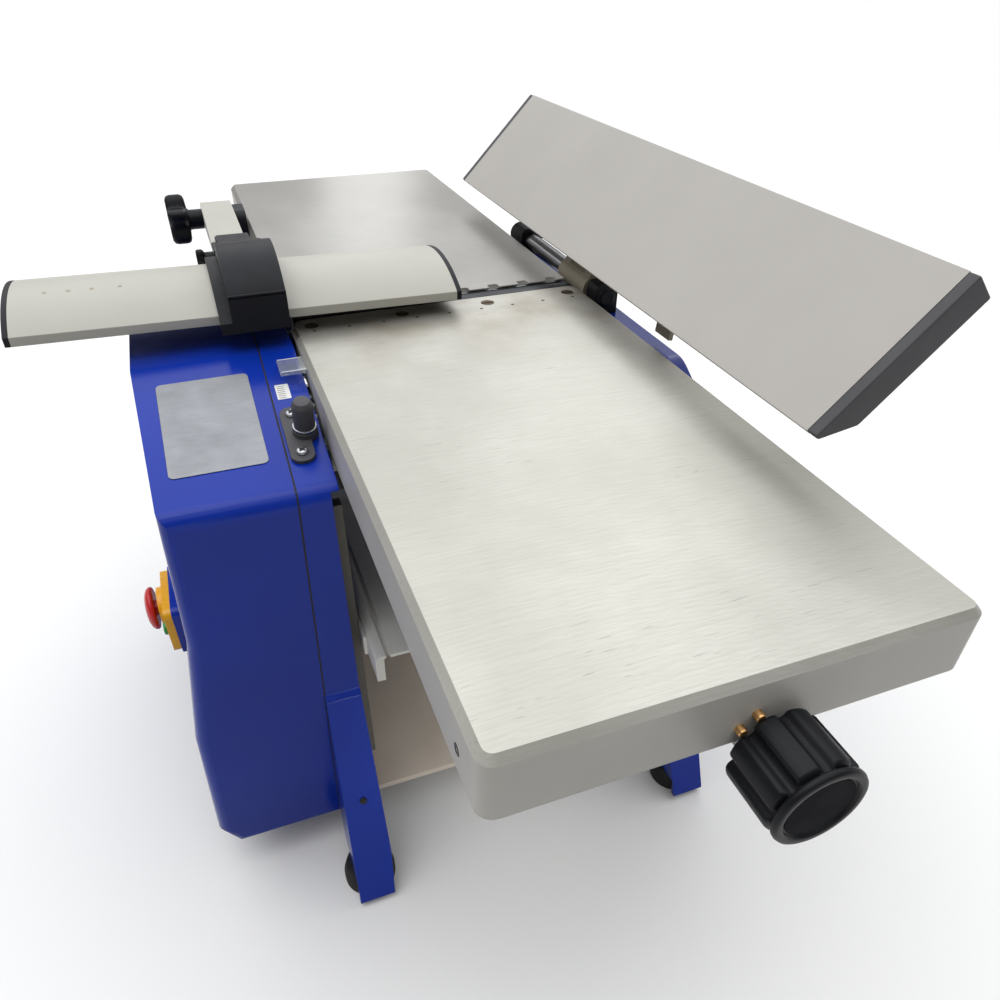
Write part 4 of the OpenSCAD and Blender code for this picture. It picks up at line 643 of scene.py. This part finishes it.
# Star knob: five rounded lobes on a stem, on the post's middle
STAR_LOBES = 5
STAR_WAVE_SHARE = 0.17
STAR_SHARES = (
    (0.3846, 0, 0), (0.3846, 0.3629, 0), (0.4423, 0.4143, 0.3), (0.8077, 0.4371, 1), (0.9423, 0.4771, 1),
    (1, 0.5629, 1), (1, 0.8486, 1), (0.9538, 0.9457, 1), (0.8269, 0.9971, 1), (0.5, 1, 0.6),
    (0.4038, 0.9914, 0), (0.3692, 0.9743, 0), (0.2308, 0.98, 0), (0.0769, 0.9857, 0))
STAR_SPOT = face("arm_star_knob", 0, 1)
STAR_SPOT.y = middle("guard_post").y
STAR_R = box_mm("arm_star_knob")[1].y - STAR_SPOT.y
finer("arm_star_knob", turned(STAR_SHARES, STAR_LOBES * SIDES_PER_LOBE, STAR_SPOT, LEFT, STAR_R,
    span("arm_star_knob").x, lobed(STAR_LOBES, STAR_WAVE_SHARE)))

# Small clamp knob: three lobes on a stem
WING_LOBES = 3
WING_WAVE_SHARE = 0.2
WING_R = 10
WING_SHARES = (
    (0.3, 0.0051, 0), (0.3, 0.2374, 0), (0.6, 0.2424, 0), (0.64, 0.2778, 0), (0.64, 0.5808, 0),
    (0.7, 0.6313, 0.5), (0.94, 0.6818, 1), (1, 0.7525, 1), (1, 0.9141, 1), (0.9, 0.9848, 1), (0.54, 1, 0.6),
    (0.15, 1, 0))
finer("guard_wing_knob", turned(WING_SHARES, WING_LOBES * SIDES_PER_LOBE, face("guard_wing_knob", 0, 1), LEFT,
    WING_R, span("guard_wing_knob").x, lobed(WING_LOBES, WING_WAVE_SHARE)))

# Stop button: a thin mushroom on its stem
STOP_SIDES = 72
STOP_SHARES = (
    (0.3529, 0), (0.3529, 0.5), (0.8588, 0.5), (0.9529, 0.5333), (1, 0.6067), (0.9882, 0.7), (0.9059, 0.82),
    (0.7059, 0.9267), (0.4118, 0.9867), (0.0882, 1))
finer("stop_button", turned(STOP_SHARES, STOP_SIDES, face("stop_button", 0, 1), LEFT,
    span("stop_button").z / 2, span("stop_button").x))

# The left side's front slope, from the crease in its top down to its front edge
TOP_Z = box_mm("side_cover")[1].z
SIDE_Y = box_mm("side_cover")[1].y
CREASE_Y = 53
SLOPE_DROP = 36
SLOPE = SLOPE_DROP / (SIDE_Y - CREASE_Y)
LEAN = Matrix.Rotation(math.atan(SLOPE), 3, "X")
SLOPE_UP = LEAN @ UP


def on_slope(x, y, z=0.0):
    """A point on the front slope, z mm above it."""
    return Vector((x, y, TOP_Z - (-y - CREASE_Y) * SLOPE)) + SLOPE_UP * z


def slope_place(x, y):
    """Placing matrix of a flat piece on the slope."""
    return Matrix.Translation(on_slope(x, y)) @ LEAN.to_4x4()


# Lock pin: a cap with a bevelled top on its stem. Levels are radius and height in mm.
LOCK_SIDES = 48
LOCK_Y = -151
LOCK_SPOT = on_slope(middle("lock_pin").x, LOCK_Y)
LOCK_PIN = (
    (3, -10), (3, 3.3), (5, 3.4), (5, 7.3), (7.3, 7.35), (7.5, 8), (7.5, 26.5), (7.1, 28.2), (5.8, 30.6),
    (5.2, 31.2), (1.5, 31.3))
finer("lock_pin", turned(LOCK_PIN, LOCK_SIDES, LOCK_SPOT, SLOPE_UP))

# All other nodes get rounded edges, as wide as the casting, moulding or machining leaves them
EDGE = {
    "infeed_table": 0.8, "outfeed_table": 0.8, "side_cover": 1.6, "left_casting": 1.4, "right_casting": 1.4,
    "fence_profile": 0.6, "fence_end_caps": 1.2, "guard_holder": 1.2, "thickness_bed": 0.8, "guard_arm": 1.0,
    "rubber_feet": 1.5, "switch_housing": 1.2, "lock_bracket": 0.9, "arm_knuckle": 0.6, "start_button": 0.8}
FINE_EDGE = 0.4
for node in sorted(NODES):
    if node not in FINE:
        soften(node, EDGE.get(node, FINE_EDGE))


# Small parts that stay with the looks

def trim(name, mesh, body, material):
    """A small piece that stands for no node."""
    mesh.name = name
    put(name, shaded(mesh), body, material)


# Pan-head screw: shares of its head's radius and height, and of the cross in its top
HEAD_SIDES = 32
HEAD_FOOT_SHARE = 0.96
HEAD_SHARES = ((1, 0.3), (0.93, 0.62), (0.7, 0.9), (0.45, 1), (0.4, 0.98), (0.3, 0.55), (0.1, 0.5))
CROSS_L_SHARE = 0.62
CROSS_W_SHARE = 0.13
CROSS_LOW_SHARE = 0.86
CROSS_TOP_SHARE = 1.02
HEAD_SUNK = 0.3


def pan_screw(spot, axis, radius, height):
    """Head and cross recess of a pan-head screw that stands on a surface."""
    foot = (HEAD_FOOT_SHARE, -HEAD_SUNK / height)
    head = turned((foot, *HEAD_SHARES), HEAD_SIDES, spot, axis, radius, height)
    side = axis.orthogonal().normalized()
    stand = Matrix((side, axis.cross(side), axis)).transposed()
    bars = []
    for quarter in (0, 1):
        bar = block((-radius * CROSS_L_SHARE, -radius * CROSS_W_SHARE, height * CROSS_LOW_SHARE),
            (radius * CROSS_L_SHARE, radius * CROSS_W_SHARE, height * CROSS_TOP_SHARE))
        turn = stand @ Matrix.Rotation(math.pi / 2 * quarter, 3, "Z")
        bar.transform(Matrix.Translation(spot * MM) @ turn.to_4x4())
        bars.append(bar)
    return head, joined(bars)


def screw_pair(name, spot, step, axis, radius, height, material):
    """Two equal screws on the frame, the second one a step on from the first."""
    head, recess = pan_screw(spot, axis.normalized(), radius, height)
    trim(name + "_heads", repeated(head, 2, step, material), "frame", material)
    # The recesses are dark crosses of painted shade, just proud of the heads
    trim(name + "_recesses", repeated(recess, 2, step, PIT_SHADE), "frame", PIT_SHADE)


# Lock bracket screws, on the bracket's middle line, and the bright collar of its pin
LOCK_PLATE_W = 17
LOCK_PLATE_T = 3
LOCK_SCREW_BACK = 20.5
LOCK_SCREW_PITCH = 39.5
LOCK_SCREW_R = 4.4
LOCK_SCREW_H = 2.6
lock_x = box_mm("lock_bracket")[0].x + LOCK_PLATE_W / 2
screw_pair("lock_screws", on_slope(lock_x, LOCK_Y + LOCK_SCREW_BACK, LOCK_PLATE_T),
    Vector((0, -1, -SLOPE)) * LOCK_SCREW_PITCH, SLOPE_UP, LOCK_SCREW_R, LOCK_SCREW_H, STEEL)
LOCK_COLLAR = ((7.6, 7.4), (8.4, 7.6), (8.6, 8.4), (8.4, 9.4), (7.6, 9.7))
trim("lock_collar", turned(LOCK_COLLAR, LOCK_SIDES, LOCK_SPOT, SLOPE_UP), "lock", STEEL)

# Bare plate on the cover's slope
PLATE_W = 66
PLATE_L = 100
PLATE_CORNER = 4
PLATE_T = 0.7
PLATE_LIFT = 0.05
PLATE_EDGE = 0.2
PLATE_X = -208
PLATE_Y = -123.5
plate = slab(round_box(PLATE_W, PLATE_L, PLATE_CORNER), PLATE_LIFT, PLATE_T, slope_place(PLATE_X, PLATE_Y))
trim("blank_plate", edge_rounded(plate, PLATE_EDGE), "frame", PLATE)

# Plain scale tag beside the depth pointer, with ticks only
TAG_W = 10
TAG_L = 17
TAG_CORNER = 0.8
TAG_T = 0.3
TAG_LIFT = 0.02
TAG_X = -153
TAG_Y = -102
TICKS = 7
TICK_STEP = 2.2
TICK_W = 0.5
TICK_T = 0.06
TICK_LEFT = 3.8
TICK_RIGHT = 1.5
tag = slab(round_box(TAG_W, TAG_L, TAG_CORNER), TAG_LIFT, TAG_T, slope_place(TAG_X, TAG_Y))
trim("scale_tag", tag, "frame", VINYL_AND_EDGE_HIGHLIGHT)
tick = block((-TICK_LEFT, -TICK_W / 2, TAG_T), (TICK_RIGHT, TICK_W / 2, TAG_T + TICK_T))
tick.transform(Matrix.Translation(on_slope(TAG_X, TAG_Y - TICKS // 2 * TICK_STEP) * MM) @ LEAN.to_4x4())
trim("scale_ticks", repeated(tick, TICKS, LEAN @ BACK * TICK_STEP, INK), "frame", INK)

# Pale cut edges of the depth pointer, across its top at both ends, drawn white as a painted highlight of the
# light that glows in them
RIM_T = 0.8
RIM_IN = 0.6
RIM_SIDE = 1
RIM_SUNK = 0.1
RIM_PROUD = 0.2
RIM_EDGE = 0.15
low, high = box_mm("depth_pointer")
rims = [block((low.x + RIM_SIDE, y, high.z - RIM_SUNK), (high.x - RIM_SIDE, y + RIM_T, high.z + RIM_PROUD))
    for y in (low.y + RIM_IN, high.y - RIM_IN - RIM_T)]
trim("pointer_edges", edge_rounded(joined(rims), RIM_EDGE), "infeed", VINYL_AND_EDGE_HIGHLIGHT)

# Punch marks in a row over the infeed lip: low dark discs of painted shade that stand for the dimples
PUNCH_COUNT = 9
PUNCH_PITCH = 28.8
PUNCH_IN = 6.5
PUNCH_SIDES = 12
PUNCH = ((1.5, 0.02), (1.2, 0.08), (0.3, 0.1))
punch_spot = face("infeed_lip", 2, 1)
punch_spot.x -= PUNCH_COUNT // 2 * PUNCH_PITCH
punch_spot.y = box_mm("infeed_lip")[0].y + PUNCH_IN
punch = turned(PUNCH, PUNCH_SIDES, punch_spot, UP)
trim("punch_marks", repeated(punch, PUNCH_COUNT, RIGHT * PUNCH_PITCH, PIT_SHADE), "infeed", PIT_SHADE)

# Bead along the front crease of the guard's holder, as long as the holder is wide beside its rim
HOLDER_W = 43
BEAD_Z = 28.4
BEAD_SUNK = 0.4
BEAD_R = 1.1
BEAD_SIDES = 16
BEAD_SHARES = ((0.8182, 0), (1, 0.014), (1, 0.986), (0.8182, 1))
low, high = box_mm("guard_holder")
bead_spot = Vector((high.x - HOLDER_W, low.y + BEAD_SUNK, low.z + BEAD_Z))
bead = turned(BEAD_SHARES, BEAD_SIDES, bead_spot, RIGHT, BEAD_R, HOLDER_W)
trim("saddle_bead", bead, "guard_saddle", BLACK)

# Screw dots near the guard's left end, on its arched top, which droops about the holder's middle
GUARD_DROOP = 1.2
GUARD_GAP = 14
GUARD_LIP = 7
GUARD_ARCH = 16
DOT_OUT = (150.5, 134, 117.5, 97.5)
DOT_AHEAD = 15
DOT_SIDES = 16
DOT = ((1.7, -0.1), (1.6, 0.1), (0.4, 0.12))
guard_half = span("guard_profile").y / 2
guard_arc_r = (guard_half ** 2 + GUARD_ARCH ** 2) / (2 * GUARD_ARCH)
dot_z = GUARD_LIP + GUARD_ARCH - guard_arc_r + math.sqrt(guard_arc_r ** 2 - DOT_AHEAD ** 2)
droop = Matrix.Rotation(math.radians(GUARD_DROOP), 3, "Y")
guard_z = box_mm("infeed_table")[1].z + GUARD_GAP
droop_spot = Vector((high.x - HOLDER_W / 2, middle("guard_profile").y, guard_z))
dot_up = droop @ Vector((0, -DOT_AHEAD / guard_arc_r, 1))
dot_spots = [droop_spot + droop @ Vector((-out, -DOT_AHEAD, dot_z)) for out in DOT_OUT]
dots = [turned(DOT, DOT_SIDES, spot, dot_up) for spot in dot_spots]
trim("guard_holes", joined(dots), "guard", TAUPE)

# Black end cap of the fence's pivot shaft
SHAFT_CAP_L = 2.2
SHAFT_CAP_SIDES = 48
SHAFT_CAP_SHARES = (
    (0.975, 0.0227), (0.9875, 0.2273), (0.9875, 0.5455), (0.9, 0.9091), (0.7, 1), (0.65, 0.8636),
    (0.1875, 0.8636))
shaft_r = span("fence_shaft").x / 2
shaft_cap = turned(SHAFT_CAP_SHARES, SHAFT_CAP_SIDES, face("fence_shaft", 1, 0), AHEAD, shaft_r, SHAFT_CAP_L)
trim("shaft_cap", shaft_cap, BODY["fence_shaft"], BLACK)

# Matt insert in the depth knob's dished face
INSERT_SIDES = 64
INSERT_SHARES = ((0.736, 0.9513), (0.736, 0.9605), (0.716, 0.9684), (0.16, 0.9711))
insert = turned(INSERT_SHARES, INSERT_SIDES, KNOB_BACK, AHEAD, KNOB_R, KNOB_L)
trim("knob_insert", insert, BODY["depth_knob"], INSERT)

# Two screw ends in the table's end wall, above and left of the depth knob
STUD = ((2.6, 4), (2.6, -2), (2.1, -3), (0.8, -3.2))
STUD_SIDES = 20
STUD_LEFT = 18
STUD_UP = 15
STUD_OUT = 1
STUD_STEP = Vector((8, 0, 7))
table_low, table_high = box_mm("infeed_table")
stud_spot = Vector((KNOB_BACK.x - STUD_LEFT, table_low.y - STUD_OUT, KNOB_BACK.z + STUD_UP))
studs = repeated(turned(STUD, STUD_SIDES, stud_spot, BACK), 2, STUD_STEP, ZINC)
trim("knob_studs", studs, "infeed", ZINC)

# One screw in the face of each front leg
LEG_SCREW_X = 156.4
LEG_SCREW_Y = -248
LEG_SCREW_Z = 103.5
LEG_SCREW_R = 3.2
LEG_SCREW_H = 1.4
LEG_FACE = Vector((0, -0.936, 0.353))
leg_screw_spot = Vector((-LEG_SCREW_X, LEG_SCREW_Y, LEG_SCREW_Z))
leg_screw_step = RIGHT * 2 * LEG_SCREW_X
screw_pair("leg_screws", leg_screw_spot, leg_screw_step, LEG_FACE, LEG_SCREW_R, LEG_SCREW_H, DARK_STEEL)

# Plug screw in the infeed table's side
PLUG = ((3.4, -0.4), (3.4, 0.1), (3, 0.3), (1.6, 0.3), (1.4, -0.2), (0.4, -0.2))
PLUG_SIDES = 24
PLUG_BACK = 29
PLUG_DROP = 24.5
plug_spot = Vector((table_low.x, table_low.y + PLUG_BACK, table_high.z - PLUG_DROP))
trim("table_plug", turned(PLUG, PLUG_SIDES, plug_spot, LEFT), "infeed", DARK_STEEL)

# Dark band of painted shade for the seam between the drive cover and the casting, over the outline that they
# share
SEAM_W = 1.3
SEAM_PROUD = 0.15
SEAM_SUNK = 0.6
COVER_BASE = 8


def cover_outline():
    """Outline of the cover from the side, from the back of its base round to the front, as Y and Z in mm."""
    points = [Vector((v.co.y, v.co.z)) / MM for v in NODES["side_cover"].data.vertices]
    hull = [points[i] for i in convex_hull_2d(points)]
    base = min(p.y for p in hull) + COVER_BASE
    first = max(range(len(hull)), key=lambda i: (hull[i].y < base, hull[i].x))
    return hull[first:] + hull[:first]


def seam():
    """A thin band along the cover's outline, which leans outwards with the castings."""
    outline = cover_outline()
    last = len(outline) - 1
    foot = box_mm("left_casting")[0]
    head = box_mm("side_cover")[1]
    rings = []
    for i, p in enumerate(outline):
        along = (outline[min(i + 1, last)] - outline[max(i - 1, 0)]).normalized()
        out = Vector((along.y, -along.x))
        x = foot.x + (head.x - foot.x) * (p.y - foot.z) / (head.z - foot.z)
        ring = []
        for side, lift in ((-1, -SEAM_SUNK), (1, -SEAM_SUNK), (1, SEAM_PROUD), (-1, SEAM_PROUD)):
            q = p + out * lift
            ring.append(Vector((x + side * SEAM_W / 2, q.x, q.y)) * MM)
        rings.append(ring)
    return from_rings(rings)


trim("cover_seam", seam(), "frame", RUBBER_AND_SEAM_SHADE)

# Thread of the depth screw, as a row of ridges
THREAD_TURNS = 120
THREAD_PITCH = 2
THREAD_BACK = 40
THREAD_SIDES = 24
THREAD_ROOT_R = 4
THREAD_R = 4.45
RIDGE = ((THREAD_ROOT_R, 0), (THREAD_R, THREAD_PITCH / 4), (THREAD_ROOT_R, THREAD_PITCH / 2))
thread_spot = Vector((KNOB_BACK.x, table_low.y + THREAD_BACK, KNOB_BACK.z))
ridge = turned(RIDGE, THREAD_SIDES, thread_spot, BACK)
thread = repeated(ridge, THREAD_TURNS, BACK * THREAD_PITCH, STEEL)
trim("depth_thread", thread, "depth_dial", STEEL)


# Floor, sky, lamps and camera

FLOOR_SHADE = "#b0b0ae"
FLOOR_SEEN = "#dededc"
FLOOR_HALF = 30


def pale_floor():
    """A floor that is white for the eye, metal and glass, and lights the machine's sides as a greyer one."""
    material, tree, _ = blank("pale_floor", FLOOR_SHADE)
    path = add(tree, "ShaderNodeLightPath")
    mirrored = add(tree, "ShaderNodeMath", {0: (path, "Is Camera Ray"), 1: (path, "Is Glossy Ray")},
        operation="MAXIMUM")
    seen = add(tree, "ShaderNodeMath", {0: (mirrored, "Value"), 1: (path, "Is Transmission Ray")},
        operation="MAXIMUM")
    tone = add(tree, "ShaderNodeMix",
        {FACTOR: (seen, "Value"), COLOUR_A: rgb(FLOOR_SHADE), COLOUR_B: rgb(FLOOR_SEEN)}, data_type="RGBA")
    surfaced(tree, {"Base Color": (tone, COLOUR_OUT), "Roughness": 0.9, "Specular IOR Level": 0.1})
    return material


floor_mesh = bpy.data.meshes.new("floor")
corners = [(x * FLOOR_HALF, y * FLOOR_HALF, 0) for x, y in ((-1, -1), (1, -1), (1, 1), (-1, 1))]
floor_mesh.from_pydata(corners, [], [(0, 1, 2, 3)])
floor_mesh.materials.append(pale_floor())
floor = bpy.data.objects.new("floor", floor_mesh)
scene.collection.objects.link(floor)

# Studio sky: bright overhead and a little behind the machine, dim towards the horizon
SKY_LEAN = math.radians(15)
SKY_STRENGTH = 2.2
world = bpy.data.worlds.new("studio")
world.use_nodes = True
sky = world.node_tree
sky.nodes.clear()
ray = add(sky, "ShaderNodeTexCoord")
leant = add(sky, "ShaderNodeMapping", {"Vector": (ray, "Generated"), "Rotation": (SKY_LEAN, 0, 0)})
height = add(sky, "ShaderNodeSeparateXYZ", {"Vector": (leant, "Vector")})
rise = add(sky, "ShaderNodeMapRange", {"Value": (height, "Z"), "From Min": 0.38, "From Max": 0.82})
glow = add(sky, "ShaderNodeMix",
    {FACTOR: (rise, "Result"), COLOUR_A: rgb("#5e5c5a"), COLOUR_B: rgb("#fbfcff")}, data_type="RGBA")
light = add(sky, "ShaderNodeBackground", {"Color": (glow, COLOUR_OUT), "Strength": SKY_STRENGTH})
add(sky, "ShaderNodeOutputWorld", {"Surface": (light, "Background")})
scene.world = world

# Soft boxes: name, place and aim in metres, width and height, power in watts and spread in degrees
LAMPS = (
    ("key", (-0.7, -0.3, 2.6), (0, 0, 0.4), (1.6, 1.6), 10, 180),
    ("far_strip", (0.5, 2.6, 1.05), (0, 0.2, 0.4), (0.35, 0.8), 1.2, 180),
    ("side", (2.2, -0.6, 1.4), (0, 0, 0.4), (1.0, 1.6), 3, 180),
    ("low_snoot", (-0.1, -0.95, 0.5), (0, -0.15, 0.08), (0.12, 0.06), 0.08, 24),
    ("rear_key", (1.5, 2.0, 2.0), (0, -0.2, 0.43), (1.2, 0.5), 4, 180))
for name, place, aim, size, power, spread in LAMPS:
    lamp = bpy.data.lights.new(name, "AREA")
    lamp.shape = "RECTANGLE"
    lamp.size, lamp.size_y = size
    lamp.energy = power
    lamp.spread = math.radians(spread)
    obj = bpy.data.objects.new(name, lamp)
    obj.location = place
    obj.rotation_euler = (Vector(aim) - Vector(place)).to_track_quat("-Z", "Y").to_euler()
    scene.collection.objects.link(obj)

# Camera: its place in metres, the way it looks and its right-hand side, as solved from the tables' edges
CAMERA_PLACE = (-0.1937, -0.65735, 0.6906)
CAMERA_AHEAD = Vector((0.28097, 0.73609, -0.61581))
CAMERA_RIGHT = Vector((0.93631, -0.35108, 0.00755))
SENSOR_MM = 36
LENS_MM = 28.28
SHIFT_X = 0.00465
SHIFT_Y = 0.04657
NEAR_CLIP = 0.01
camera = bpy.data.objects.new("camera", bpy.data.cameras.new("camera"))
scene.collection.objects.link(camera)
ahead = CAMERA_AHEAD.normalized()
up = CAMERA_RIGHT.cross(ahead).normalized()
turn = Matrix((ahead.cross(up), up, -ahead)).transposed()
camera.matrix_world = Matrix.Translation(CAMERA_PLACE) @ turn.to_4x4()
camera.data.sensor_width = SENSOR_MM
camera.data.lens = LENS_MM
camera.data.shift_x = SHIFT_X
camera.data.shift_y = SHIFT_Y
camera.data.clip_start = NEAR_CLIP
scene.camera = camera
scene.view_settings.view_transform = "Standard"
